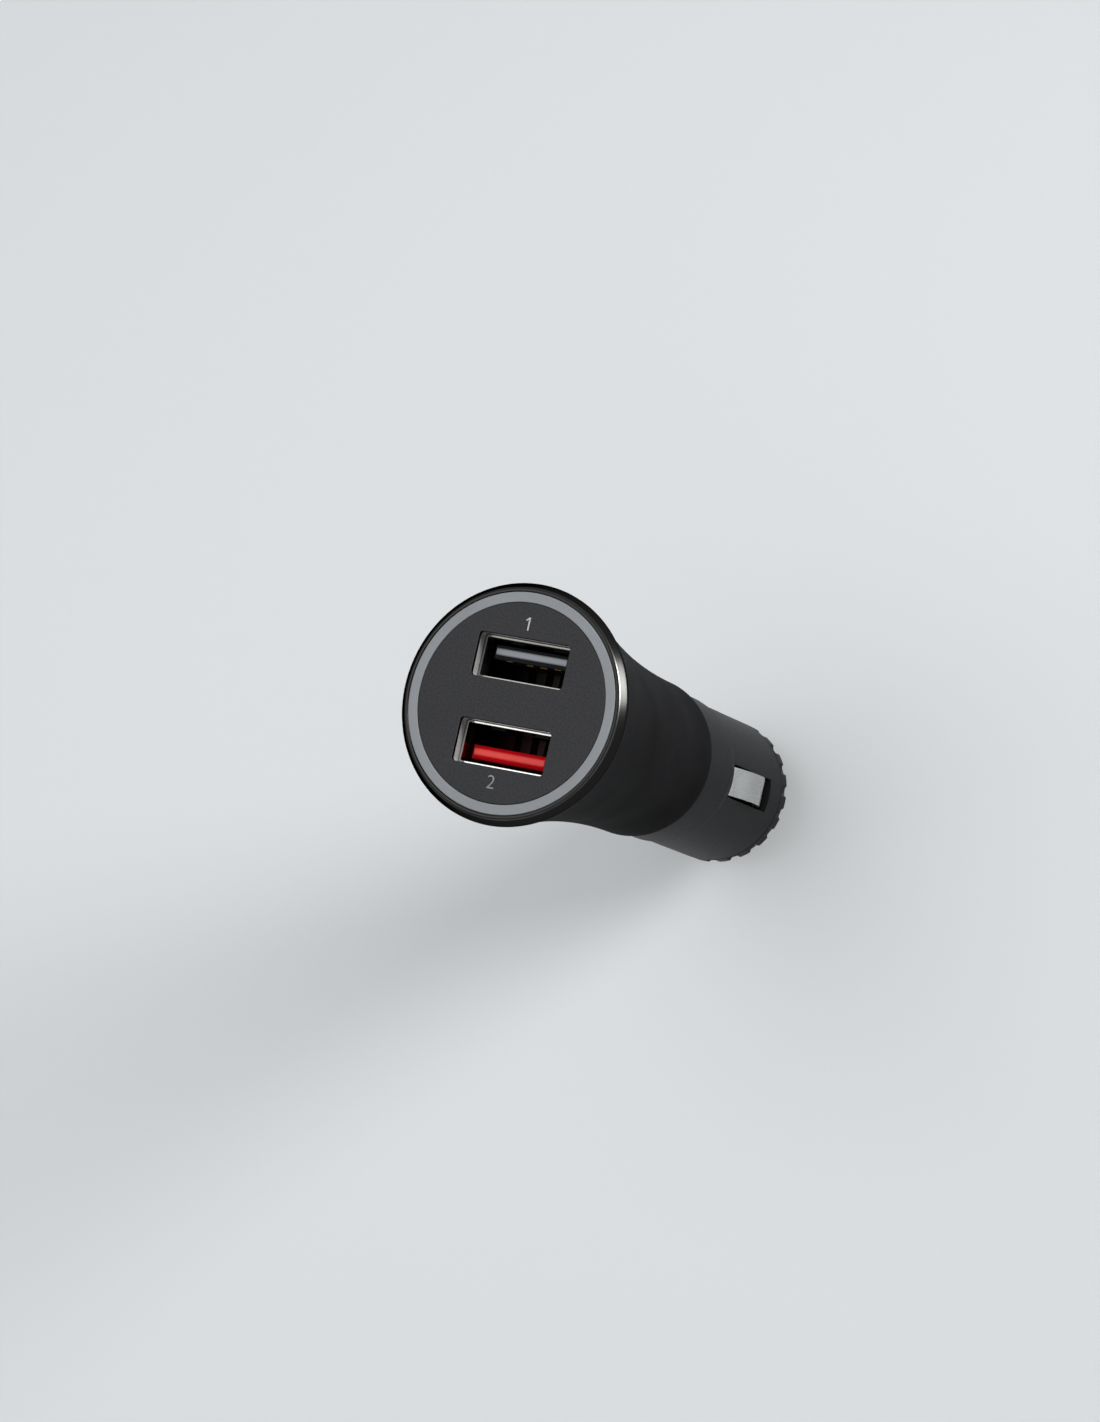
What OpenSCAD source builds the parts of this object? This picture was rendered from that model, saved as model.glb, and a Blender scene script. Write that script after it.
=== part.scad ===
// Two-port USB charger plug for a vehicle's 12 V supply, in millimetres.
//
// The origin is on the plug's axis, at the shoulder where the wide head meets the barrel with
// the plug's contacts. +Z leaves through the face, +X runs along the long side of the ports,
// and port 1 is on the +Y side of the board that lies between the two ports.

/* [Head] */
// Length of the head, from its shoulder to the face
head_len = 42; // [40:0.5:48]
// Diameter over the bezel, the widest place
head_d = 32; // [31.6:0.1:35]
// Diameter of the head at its shoulder
waist_d = 22; // [21.8:0.1:23.5]
// Wall of the head's shell
shell_wall = 1.6; // [1.4:0.1:1.8]
// How far the shell's edge stands back from the bezel above it
shell_step = 0.15; // [0.05:0.05:0.3]

/* [Bezel and light ring] */
// Height of the bezel, from the face down to its parting line
bezel_h = 1.3; // [1.1:0.1:1.8]
// Height of the bevel on the bezel's outer edge
bevel_h = 1; // [0.5:0.1:1]
// Width of the bezel, from its outer edge to the light ring's seat
bezel_w = 1.3; // [1.2:0.05:1.5]
// Width of the bezel's flat lip around the light ring
lip_w = 0.42; // [0.3:0.02:0.5]
// Width of the light ring on the face
ring_w = 1.35; // [1.1:0.05:1.5]
// Depth of the light ring, from the face to its seat in the shell
ring_h = 3; // [2.8:0.1:3.6]
// Width of the light ring's inner ledge, which carries the panel
ring_ledge_w = 1.1; // [0.8:0.05:1.2]

/* [Face panel] */
// Thickness of the face panel
panel_t = 2; // [1.6:0.1:2.2]
// Height of the collar that holds each port behind the panel
collar_h = 1.2; // [0.8:0.1:1.4]
// Wall of that collar
collar_w = 0.7; // [0.5:0.05:0.8]

/* [Port shells] */
// Distance between the centres of the two ports
port_pitch = 11.4; // [11.2:0.1:11.6]
// Width of a port's steel shell, outside
port_w = 13.1; // [13:0.05:13.2]
// Height of a port's steel shell, outside
port_h = 5.7; // [5.6:0.05:5.8]
// Length of a port's steel shell
port_len = 13.5; // [12.5:0.1:14]
// Thickness of the shell's sheet
port_wall = 0.3; // [0.25:0.01:0.35]
// Outer corner radius of the shell
port_corner_r = 0.45; // [0.4:0.05:0.6]
// Depth of the shell's front edge below the face
port_recess = 2; // [1.8:0.1:2.2]
// Width of each spring finger pressed out of the shell
finger_w = 2.2; // [1.6:0.1:2.6]
// Distance of each finger's root from the block at the rear of the port
finger_root_gap = 1.6; // [1.4:0.1:2.4]
// How far each finger reaches into the port
finger_reach = 0.35; // [0.2:0.05:0.4]
// Distance of each broad-side finger from the port's middle
finger_x = 3.2; // [2.8:0.1:3.6]

/* [Port insides] */
// Width of the tongue inside a port
tongue_w = 11.1; // [10.8:0.1:11.2]
// Thickness of the tongue
tongue_t = 1.84; // [1.7:0.02:1.9]
// Gap between the tongue and the near wall of the shell
tongue_gap = 0.66; // [0.6:0.02:0.8]
// How far the tongue stands back from the shell's front edge
tongue_recess = 1.1; // [0.8:0.1:1.6]
// Height of the lead-in chamfers on the tongue's front edge
tongue_chamfer = 0.46; // [0.2:0.02:0.6]
// Length of the block that closes the shell at the rear
block_len = 3.5; // [3:0.1:4]
// Width of the foot that stands on the board
foot_w = 10.2; // [9:0.1:10.6]
// Width of each contact blade
blade_w = 1; // [0.8:0.05:1.2]
// Thickness of each contact blade
blade_t = 0.25; // [0.2:0.01:0.3]
// How far each blade stands out of its groove in the tongue
blade_proud = 0.06; // [0.03:0.01:0.12]
// Distance of the two data blades from the port's middle
data_x = 1; // [0.9:0.05:1.1]
// Distance of the two power blades from the port's middle
power_x = 3.5; // [3.3:0.05:3.7]
// How far the power blades stand back from the tongue's front edge
power_setback = 1.2; // [0.9:0.1:1.6]
// How far the data blades stand back from the tongue's front edge
data_setback = 2.2; // [1.8:0.1:2.6]

/* [Barrel] */
// Diameter of the barrel next to the shoulder, where it fits closest
barrel_d = 20.8; // [20.6:0.02:20.9]
// Length of that full diameter, from the shoulder
barrel_fit_len = 9; // [8:0.1:9.5]
// How far the barrel steps in behind it
rear_step = 0.3; // [0.2:0.02:0.4]
// Length of the barrel, from the shoulder to the nose cap
barrel_len = 28; // [27:0.1:32]
// Wall of the barrel behind the step
barrel_wall = 1.3; // [1.2:0.05:1.4]
// Height of the spigot that holds the barrel in the shell
spigot_h = 6; // [4:0.5:8]
// Wall of that spigot
spigot_wall = 1.1; // [0.9:0.05:1.2]

/* [Ground contacts] */
// Width of each ground contact spring
spring_w = 4; // [3.4:0.1:4.4]
// Thickness of the contact spring's strip
spring_t = 0.4; // [0.35:0.01:0.5]
// How far each contact spring stands out of the barrel at rest
spring_out = 1.1; // [0.9:0.05:1.3]
// Gap between the barrel's bore and the strip where it is held
spring_seat_gap = 0.4; // [0.36:0.02:0.5]
// Distance from the shoulder to the slot that each contact spring stands in
slot_top = 10.5; // [10:0.1:11]
// Length of the barrel's wall that is left between the slot and the nose cap
slot_land = 4; // [3.5:0.1:4.5]

/* [Nose and tip] */
// Length of the nose cap outside the barrel
nose_len = 5; // [4.5:0.1:6]
// Diameter of the nose cap's flat end
nose_end_d = 13; // [12:0.1:14]
// Length of the nose cap's spigot inside the barrel
nose_spigot_h = 2.5; // [2:0.1:2.8]
// Thickness of the nose cap's end wall
nose_wall = 3; // [2.5:0.1:3.5]
// Number of grip flutes around the nose cap
flute_count = 20; // [12:1:24]
// Depth of the grip flutes
flute_depth = 0.45; // [0.3:0.05:0.6]
// Diameter of the centre contact's tip
tip_d = 6.8; // [6.4:0.1:7.4]
// How far the tip still stands out of the nose cap when it is pressed in
tip_left = 0.5; // [0.3:0.1:1.5]
// Diameter of the flange that keeps the tip in the nose cap
flange_d = 9.2; // [8.8:0.1:9.6]
// Thickness of that flange
flange_t = 1.2; // [1:0.1:1.4]
// Travel of the tip
tip_travel = 3; // [2.5:0.1:3.2]
// Length of the tip's spring at rest
coil_len = 10.3; // [9.5:0.1:11]
// Middle diameter of the spring's turns
coil_d = 5.2; // [5:0.1:5.6]
// Diameter of the spring's wire
coil_wire = 0.6; // [0.5:0.05:0.7]
// Number of turns in the spring
coil_turns = 7; // [5:0.5:7]

/* [Boards] */
// Thickness of the main circuit board
board_t = 1.6; // [1.4:0.1:1.8]
// How far the main board reaches below the shoulder
board_drop = 8; // [7.6:0.1:8.2]
// Height of the step where the main board becomes wider
board_step_z = 28; // [26:0.5:29]
// Thickness of the ring-shaped board with the lamps
led_board_t = 1; // [0.8:0.1:1.2]
// Gap between that board and the corners of the ports
led_board_gap = 0.5; // [0.4:0.05:0.6]
// Height of each lamp
led_h = 0.7; // [0.5:0.05:0.8]
// Length of each lamp
led_len = 1.6; // [1.2:0.1:2]
// Number of lamps
led_count = 8; // [6:1:12]

/* [Parts on the main board] */
// Diameter of each capacitor's can
can_d = 6.3; // [5:0.1:6.5]
// Length of each capacitor's can
can_len = 9; // [7:0.1:10]
// Distance of each capacitor from the board's middle
can_x = 4; // [3.8:0.1:4.2]
// Height of each capacitor's lower end above the shoulder
can_z = 13; // [12:0.1:14]
// Side of each inductor's square core
core_w = 7; // [6:0.1:7.2]
// Height of each inductor
core_h = 4; // [3:0.1:4.2]
// Height of the middle of each inductor above the shoulder
core_z = 18; // [17:0.1:19]
// Width of each converter chip
chip_w = 3.9; // [3.6:0.1:4.1]
// Length of each converter chip
chip_len = 4.9; // [4.7:0.1:5.2]
// Thickness of each converter chip
chip_h = 1.4; // [1.1:0.1:1.6]
// Height of the middle of each converter chip above the shoulder
chip_z = 7; // [6:0.1:8]
// Length of the fuse
fuse_len = 6.1; // [5:0.1:6.4]
// Width and height of the fuse
fuse_w = 2.6; // [2:0.1:2.8]

/* [Clearances] */
// Gap around pieces that are pressed together
fit_gap = 0.05; // [0.03:0.01:0.08]
// Gap around pieces that are laid in place
loose_gap = 0.1; // [0.08:0.01:0.15]
// Gap around the tip in the nose cap's bore
tip_gap = 0.05; // [0.03:0.01:0.08]
// Gap beside the boards and the contact springs
side_gap = 0.3; // [0.25:0.01:0.35]

/* [Hidden] */
$fn = 96;
// Extra length of a cutting shape beyond the face that it cuts
over = 1;
// Straight facets in each curved outline of the shell
flare_steps = 14;

// Levels of the head, from the face down
face_z = head_len;
shell_top_z = face_z - bezel_h;
panel_z = face_z - panel_t;
ring_z = face_z - ring_h;
led_board_top_z = ring_z - side_gap - led_h;
led_board_z = led_board_top_z - led_board_t;
port_z = face_z - port_recess;

// The shell flares along one large arc, which leaves the shoulder parallel to the axis
waist_r = waist_d / 2;
flare_w = head_d / 2 - shell_step - waist_r;
flare_r = (pow(shell_top_z, 2) + pow(flare_w, 2)) / (2 * flare_w);
function shell_r(z) = waist_r + flare_r - sqrt(pow(flare_r, 2) - pow(z, 2));
function inner_r(z) = shell_r(z) - shell_wall;
shell_bore_r = waist_r - shell_wall;

// Rings on the face
ring_seat_r = head_d / 2 - bezel_w;
ring_r = ring_seat_r - fit_gap;
ring_inner_r = ring_r - ring_w;
ring_ledge_r = ring_inner_r - ring_ledge_w;
panel_r = ring_inner_r - fit_gap;
lip_r = ring_seat_r + lip_w;
shelf_w = 0.7;
shelf_h = 0.8;
shelf_r = inner_r(led_board_z) - loose_gap - shelf_w;

// Ports
port_in_w = port_w - 2 * port_wall;
port_in_h = port_h - 2 * port_wall;
port_in_corner_r = port_corner_r - port_wall;
foot_reach = port_pitch / 2 - board_t / 2;
tongue_top_y = port_in_h / 2 - tongue_gap;
tongue_low_y = tongue_top_y - tongue_t;
tongue_lead = 0.6;
block_front_z = block_len - port_len;
blade_leg_z = 1 - port_len;
blade_seat_y = tongue_low_y + blade_t - blade_proud;
function blade_front_z(x) = -tongue_recess - (x < (data_x + power_x) / 2 ? data_setback : power_setback);
finger_slot = 0.35;
finger_tip_z = -2.8;
finger_len = port_len - block_len + finger_tip_z - finger_root_gap;

// Barrel, nose and tip
barrel_r = barrel_d / 2;
rear_r = barrel_r - rear_step;
bore_r = rear_r - barrel_wall;
spigot_r = shell_bore_r - fit_gap;
spigot_bore_r = spigot_r - spigot_wall;
nose_z = -barrel_len;
nose_end_z = nose_z - nose_len;
nose_floor_z = nose_end_z + nose_wall;
nose_spigot_r = bore_r - fit_gap;
nose_chamber_r = flange_d / 2 + side_gap;
tip_r = tip_d / 2;
tip_bore_r = tip_r + tip_gap;
tip_end_z = nose_end_z - tip_travel - tip_left;
flange_top_z = nose_floor_z + flange_t;
seat_z = flange_top_z + coil_len;
seat_t = 0.5;
seat_r = coil_d / 2 + coil_wire;
stub_r = coil_d / 2 - coil_wire / 2 - 2 * loose_gap;
stub_h = 1.4;

// Each contact spring is bowed along one arc between its held end and its free end
slot_len = barrel_len - slot_top - slot_land;
slot_z = -slot_top - slot_len;
spring_root_x = bore_r - spring_seat_gap - spring_t / 2;
spring_reach = rear_r + spring_out;
bow_end_gap = 0.7;
bow_half = slot_len / 2 - bow_end_gap / 2;
bow_z = -slot_top - bow_half;
bow_rise = spring_reach - spring_t / 2 - spring_root_x;
bow_r = (pow(bow_half, 2) + pow(bow_rise, 2)) / (2 * bow_rise);
spring_root_z = -board_drop - 0.6;

// Boards
board_half_w = min(spigot_bore_r, bore_r) - side_gap;
board_head_half_w = inner_r(board_step_z) - side_gap;
led_board_r = inner_r(led_board_z) - loose_gap;
port_corner_x = port_w / 2 - port_corner_r;
port_corner_y = port_pitch / 2 + port_h / 2 - port_corner_r;
led_board_bore_r = sqrt(pow(port_corner_x, 2) + pow(port_corner_y, 2)) + port_corner_r + led_board_gap;
led_ring_r = (ring_ledge_r + ring_inner_r) / 2;
led_w = 0.8;
strap_t = 0.25;
strap_w = 3;
strap_x = spring_root_x - spring_t / 2 - 0.15;

// A bar along +Z with rounded corners
module rounded_bar(w, h, r, len) {
    linear_extrude(len) {
        square([w - 2 * r, h], center = true);
        square([w, h - 2 * r], center = true);
        for (x = [-1, 1], y = [-1, 1])
            translate([x * (w / 2 - r), y * (h / 2 - r)]) circle(r);
    }
}

// A flat outline of points [z, y], drawn along Z and given a width along X
module side_cut(width) {
    rotate([0, -90, 0]) linear_extrude(width, center = true) children();
}

// A flat outline of points [x, z], stood up and given a width along Y
module front_cut(width) {
    rotate([90, 0, 0]) linear_extrude(width, center = true) children();
}

// Places a port: its front edge at the origin, and the board on its -Y side
module at_port(number) {
    rotate([0, 0, number == 1 ? 0 : 180]) translate([0, port_pitch / 2, port_z]) children();
}

// Places a part that lies on one face of the main board, which faces +Y here
module on_board(side) {
    rotate([0, 0, side == 1 ? 0 : 180]) translate([0, board_t / 2, 0]) children();
}

// Housing

module flared_outline(shrink) {
    polygon(concat(
        [[0, shell_top_z], [0, 0]],
        [for (i = [0 : flare_steps]) let (z = shell_top_z * i / flare_steps) [shell_r(z) - shrink, z]]
    ));
}

module shell_cavity() {
    shelf_low_z = led_board_z - shelf_h;
    ramp_z = shelf_low_z - 2 * shelf_w;
    polygon(concat(
        [[0, -over], [shell_bore_r, -over], [shell_bore_r, spigot_h]],
        [for (i = [0 : flare_steps]) let (z = spigot_h + (ramp_z - spigot_h) * i / flare_steps) [inner_r(z), z]],
        [[shelf_r, shelf_low_z], [shelf_r, led_board_z], [inner_r(led_board_z), led_board_z],
         [inner_r(ring_z), ring_z], [ring_seat_r, ring_z], [ring_seat_r, shell_top_z + over],
         [0, shell_top_z + over]]
    ));
}

// Two ribs carry the shoulders of the main board
module board_ribs() {
    rib_h = 6;
    rib_w = 3.2;
    rib_in = board_half_w + side_gap;
    intersection() {
        rotate_extrude() flared_outline(shell_wall / 2);
        for (side = [0, 180]) rotate([0, 0, side])
            front_cut(rib_w) polygon([
                [rib_in, board_step_z], [head_d / 2, board_step_z],
                [head_d / 2, board_step_z - 2 * rib_h], [rib_in, board_step_z - rib_h]
            ]);
    }
}

module front_shell() {
    color("#1b1c1e") union() {
        difference() {
            rotate_extrude() flared_outline(0);
            rotate_extrude() shell_cavity();
        }
        board_ribs();
    }
}

module bezel_ring() {
    color("#55565a") rotate_extrude() polygon([
        [ring_seat_r, shell_top_z], [head_d / 2, shell_top_z], [head_d / 2, face_z - bevel_h],
        [lip_r, face_z], [ring_seat_r, face_z]
    ]);
}

module light_ring() {
    color("#c9ccd0") rotate_extrude() polygon([
        [ring_ledge_r, ring_z], [ring_r, ring_z], [ring_r, face_z], [ring_inner_r, face_z],
        [ring_inner_r, panel_z], [ring_ledge_r, panel_z]
    ]);
}

module face_panel() {
    window_w = port_w + 2 * fit_gap;
    window_h = port_h + 2 * fit_gap;
    color("#3a3a3d") difference() {
        union() {
            translate([0, 0, panel_z]) cylinder(h = panel_t, r = panel_r);
            for (number = [1, 2]) at_port(number)
                translate([0, 0, panel_z - collar_h - port_z])
                    rounded_bar(port_w + 2 * (loose_gap + collar_w), port_h + 2 * (loose_gap + collar_w),
                        port_corner_r + collar_w, collar_h + panel_t / 2);
        }
        for (number = [1, 2]) at_port(number) {
            translate([0, 0, panel_z - collar_h - port_z - over])
                rounded_bar(window_w, window_h, port_corner_r, collar_h + panel_t + 2 * over);
            translate([0, 0, panel_z - collar_h - port_z - over])
                rounded_bar(port_w + 2 * loose_gap, port_h + 2 * loose_gap, port_corner_r, collar_h + over);
        }
    }
}

// Barrel and nose

module barrel() {
    step_h = barrel_r - rear_r;
    guide_low_z = -4;
    guide_w = 1.2;
    guide_x = board_half_w - 0.9;
    color("#1b1c1e") difference() {
        union() {
            rotate_extrude() polygon([
                [bore_r, nose_z], [rear_r, nose_z], [rear_r, -barrel_fit_len - step_h],
                [barrel_r, -barrel_fit_len], [barrel_r, 0], [spigot_r, 0], [spigot_r, spigot_h],
                [spigot_bore_r, spigot_h], [spigot_bore_r, -over], [bore_r, -over - abs(bore_r - spigot_bore_r)]
            ]);
            // Rails that hold the edges of the main board
            intersection() {
                translate([0, 0, guide_low_z]) cylinder(h = spigot_h - guide_low_z, r = spigot_bore_r + spigot_wall / 2);
                for (side = [-1, 1], face = [-1, 1])
                    translate([side * (guide_x + barrel_r / 2), face * (board_t / 2 + loose_gap + guide_w / 2), spigot_h / 2])
                        cube([barrel_r, guide_w, 2 * barrel_len], center = true);
            }
            guide_feet(guide_low_z, guide_x, guide_w);
        }
        for (side = [-1, 1])
            translate([side * barrel_r, 0, slot_z + slot_len / 2])
                cube([barrel_r, spring_w + 2 * side_gap, slot_len], center = true);
    }
}

// The rails meet the wider bore below the spigot through short webs
module guide_feet(low_z, inner_x, width) {
    intersection() {
        translate([0, 0, low_z]) cylinder(h = -low_z, r = bore_r + (rear_r - bore_r) / 2);
        for (side = [-1, 1], face = [-1, 1])
            translate([side * (inner_x + barrel_r / 2), face * (board_t / 2 + loose_gap + width / 2), low_z / 2])
                cube([barrel_r, width, -low_z], center = true);
    }
}

module nose_cap() {
    rim_h = 2;
    color("#232427") difference() {
        rotate_extrude() polygon([
            [tip_bore_r, nose_end_z], [nose_end_d / 2, nose_end_z], [rear_r, nose_z - rim_h], [rear_r, nose_z],
            [nose_spigot_r, nose_z], [nose_spigot_r, nose_z + nose_spigot_h],
            [nose_chamber_r, nose_z + nose_spigot_h], [nose_chamber_r, nose_floor_z], [tip_bore_r, nose_floor_z]
        ]);
        for (i = [0 : flute_count - 1]) rotate([0, 0, 360 * (i + 0.5) / flute_count])
            translate([rear_r + flute_depth, 0, nose_z - nose_len]) cylinder(h = nose_len - 0.4, r = 2 * flute_depth, $fn = 24);
    }
}

module center_tip() {
    round_r = tip_r * 0.6;
    color("#c8c6bf") {
        rotate_extrude() polygon(concat(
            [[0, tip_end_z]],
            [for (a = [0 : 15 : 90]) [tip_r - round_r + round_r * sin(a), tip_end_z + round_r * (1 - cos(a))]],
            [[tip_r, nose_floor_z], [flange_d / 2, nose_floor_z], [flange_d / 2, flange_top_z],
             [stub_r, flange_top_z], [stub_r, flange_top_z + stub_h], [0, flange_top_z + stub_h]]
        ));
    }
}

// A closed tube swept along a helix, whose end turns flatten against their seats
module tip_spring() {
    sides = 8;
    per_turn = 12;
    rings = round(coil_turns * per_turn);
    wire_r = coil_wire / 2;
    rise = coil_len - coil_wire;
    function flat_step(t) = min(1, max(0, (t * coil_turns - 0.75) / (coil_turns - 1.5)));
    points = [for (i = [0 : rings], k = [0 : sides - 1])
        let (t = i / rings, turn = 360 * coil_turns * t, a = 360 * k / sides,
             r = coil_d / 2 + wire_r * cos(a))
        [r * cos(turn), r * sin(turn), flange_top_z + wire_r + rise * flat_step(t) + wire_r * sin(a)]];
    walls = [for (i = [0 : rings - 1], k = [0 : sides - 1])
        let (n = (k + 1) % sides)
        each [[i * sides + k, (i + 1) * sides + k, (i + 1) * sides + n],
              [i * sides + k, (i + 1) * sides + n, i * sides + n]]];
    ends = [for (k = [1 : sides - 2]) each [[0, k, k + 1], [rings * sides, rings * sides + k + 1, rings * sides + k]]];
    color("#b9bcc0") polyhedron(points = points, faces = concat(walls, ends), convexity = 4);
}

// Brass seat of the spring, on a strip that is soldered to the main board
module spring_terminal() {
    strip_w = 3;
    strip_t = 0.4;
    joint_len = 4;
    color("#c9a24a") {
        translate([0, 0, seat_z]) cylinder(h = seat_t, r = seat_r);
        translate([0, 0, seat_z - stub_h]) cylinder(h = stub_h, r = stub_r);
        translate([-strip_w / 2, board_t / 2, seat_z])
            cube([strip_w, strip_t, joint_len - board_drop - seat_z]);
    }
}

// Bowed steel springs that carry the negative pole, and give way as the plug goes in

module ground_contact() {
    color("#c4c6c9") intersection() {
        front_cut(spring_w) {
            intersection() {
                translate([spring_root_x + bow_rise - bow_r, bow_z]) difference() {
                    circle(bow_r + spring_t / 2);
                    circle(bow_r - spring_t / 2);
                }
                translate([spring_root_x - spring_t / 2, bow_z - 2 * bow_half]) square([barrel_r, 4 * bow_half]);
            }
            translate([spring_root_x - spring_t / 2, bow_z + bow_half - spring_t])
                square([spring_t, spring_root_z - bow_z - bow_half + spring_t]);
        }
        translate([0, 0, slot_z - over]) cylinder(h = -slot_z, r = spring_reach);
    }
}

module left_ground_contact() { rotate([0, 0, 180]) ground_contact(); }

module right_ground_contact() { ground_contact(); }

// Strip that joins a contact spring to the edge of the main board
module ground_strap() {
    tail = 1.2;
    arm_h = 3;
    arm_w = 2.4;
    color("#c9a24a") {
        translate([strap_x - strap_t, -strap_w / 2, -board_drop - tail]) cube([strap_t, strap_w, tail]);
        translate([strap_x - arm_w, board_t / 2, -board_drop - strap_t])
            cube([arm_w, strap_t, arm_h + strap_t]);
    }
}

module left_ground_strap() { rotate([0, 0, 180]) ground_strap(); }

module right_ground_strap() { ground_strap(); }

// Boards

module main_board() {
    color("#1f5a3a") front_cut(board_t) polygon([
        [-board_half_w, -board_drop], [board_half_w, -board_drop], [board_half_w, board_step_z],
        [board_head_half_w, board_step_z], [board_head_half_w, led_board_z],
        [-board_head_half_w, led_board_z], [-board_head_half_w, board_step_z], [-board_half_w, board_step_z]
    ]);
}

// Ring-shaped board whose two inner tabs stand on the main board
module led_board() {
    tab_w = 4;
    tab_in = led_board_bore_r - 1.4;
    color("#e8e8e2") translate([0, 0, led_board_z]) {
        difference() {
            cylinder(h = led_board_t, r = led_board_r);
            translate([0, 0, -over]) cylinder(h = led_board_t + 2 * over, r = led_board_bore_r);
        }
        for (side = [0, 180]) rotate([0, 0, side])
            translate([tab_in, -tab_w / 2, 0]) cube([led_board_r - tab_in - 0.6, tab_w, led_board_t]);
    }
}

module leds() {
    color("#f4e9b0") for (i = [0 : led_count - 1]) rotate([0, 0, 360 * (i + 0.5) / led_count])
        translate([led_ring_r - led_w / 2, -led_len / 2, led_board_top_z]) cube([led_w, led_len, led_h]);
}

// Ports

// One bent finger of a shell wall, with the wall's outer face at y = 0 and the port on +Y
module spring_finger(width) {
    root_z = finger_tip_z - finger_len;
    bend_z = finger_tip_z - 1.4;
    side_cut(width) polygon([
        [root_z, 0], [bend_z, finger_reach], [finger_tip_z, finger_reach / 2],
        [finger_tip_z, finger_reach / 2 + port_wall], [bend_z, finger_reach + port_wall], [root_z, port_wall]
    ]);
}

// Window that a finger is pressed out of, cut through one wall
module finger_window(width) {
    translate([-width / 2 - finger_slot, -over, finger_tip_z - finger_len])
        cube([width + 2 * finger_slot, over + port_wall + 0.05, finger_len + finger_slot]);
}

// Puts a finger or its window at its places on the four walls
module at_fingers() {
    for (side = [0, 180]) rotate([0, 0, side]) {
        for (x = [-finger_x, finger_x]) translate([x, -port_h / 2, 0]) children();
        rotate([0, 0, 90]) translate([0, -port_w / 2, 0]) children();
    }
}

module port_shell() {
    foot_hole_h = port_h / 2;
    color("#b9bbbd") union() {
        difference() {
            translate([0, 0, -port_len]) rounded_bar(port_w, port_h, port_corner_r, port_len);
            translate([0, 0, -port_len - over]) rounded_bar(port_in_w, port_in_h, port_in_corner_r, port_len + 2 * over);
            translate([-foot_w / 2 - loose_gap, -port_h / 2 - over, -port_len - over])
                cube([foot_w + 2 * loose_gap, foot_hole_h, block_len + over + loose_gap]);
            at_fingers() finger_window(finger_w);
        }
        at_fingers() spring_finger(finger_w);
    }
}

// The tongue's outline seen from the side, with a lead-in on both front edges
module tongue() {
    front_z = -tongue_recess;
    intersection() {
        side_cut(tongue_w) polygon([
            [block_front_z - over, tongue_low_y], [front_z - tongue_lead, tongue_low_y],
            [front_z, tongue_low_y + tongue_chamfer], [front_z, tongue_top_y - tongue_chamfer],
            [front_z - tongue_lead, tongue_top_y], [block_front_z - over, tongue_top_y]
        ]);
        front_cut(2 * port_h) polygon([
            [-tongue_w / 2, block_front_z - over], [tongue_w / 2, block_front_z - over],
            [tongue_w / 2, front_z - tongue_lead], [tongue_w / 2 - tongue_chamfer, front_z],
            [tongue_chamfer - tongue_w / 2, front_z], [-tongue_w / 2, front_z - tongue_lead]
        ]);
    }
}

module port_insulator() {
    difference() {
        union() {
            translate([0, 0, -port_len])
                rounded_bar(port_in_w - 2 * fit_gap, port_in_h - 2 * fit_gap, port_in_corner_r, block_len);
            translate([-foot_w / 2, -foot_reach, -port_len]) cube([foot_w, foot_reach, block_len]);
            tongue();
        }
        for (side = [-1, 1], x = [data_x, power_x])
            translate([side * x - blade_w / 2 - fit_gap, -foot_reach - over, blade_leg_z - fit_gap])
                cube([blade_w + 2 * fit_gap, foot_reach + over + blade_seat_y, blade_front_z(x) - blade_leg_z + 2 * fit_gap]);
    }
}

// Blades in grooves on the board side of the tongue, bent towards the board behind it
module port_blades() {
    color("#d4af4a") for (side = [-1, 1], x = [data_x, power_x]) translate([side * x, 0, 0])
        side_cut(blade_w) polygon([
            [blade_front_z(x), blade_seat_y], [blade_front_z(x), blade_seat_y - blade_t],
            [blade_leg_z + blade_t, blade_seat_y - blade_t], [blade_leg_z + blade_t, -foot_reach],
            [blade_leg_z, -foot_reach], [blade_leg_z, blade_seat_y]
        ]);
}

module port_1_shell() { at_port(1) port_shell(); }

module port_2_shell() { at_port(2) port_shell(); }

module port_1_insulator() { color("#8d9196") at_port(1) port_insulator(); }

module port_2_insulator() { color("#d3141f") at_port(2) port_insulator(); }

module port_1_contacts() { at_port(1) port_blades(); }

module port_2_contacts() { at_port(2) port_blades(); }

// Parts on the main board

// A capacitor's can that lies on the board, with a rolled groove and two bent leads
module capacitor() {
    can_r = can_d / 2;
    groove_z = 1.2;
    groove_r = 0.35;
    lead_r = 0.3;
    lead_x = 1.25;
    lead_out = 1.5;
    translate([-can_x, can_r + fit_gap, can_z]) {
        color("#20252c") difference() {
            cylinder(h = can_len, r = can_r);
            translate([0, 0, groove_z]) rotate_extrude() translate([can_r + groove_r / 2, 0]) circle(groove_r, $fn = 24);
        }
        color("#c8c8c8") for (x = [-lead_x, lead_x]) {
            translate([x, 0, -lead_out]) cylinder(h = lead_out, r = lead_r, $fn = 24);
            translate([x, -can_r - fit_gap, -lead_out]) rotate([-90, 0, 0])
                cylinder(h = can_r + fit_gap, r = lead_r, $fn = 24);
            translate([x, 0, -lead_out]) sphere(lead_r, $fn = 24);
        }
    }
}

// A square power inductor with cut corners and a round pot in the middle
module inductor() {
    corner = 1;
    half = core_w / 2;
    pot_r = half - 0.5;
    rim = 0.6;
    translate([can_x, 0, core_z]) color("#3c3f43") {
        rotate([-90, 0, 0]) linear_extrude(core_h - rim) polygon([
            [-half, -half + corner], [-half + corner, -half], [half - corner, -half], [half, -half + corner],
            [half, half - corner], [half - corner, half], [-half + corner, half], [-half, half - corner]
        ]);
        translate([0, core_h - rim, 0]) rotate([-90, 0, 0]) cylinder(h = rim, r = pot_r);
    }
}

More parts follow.
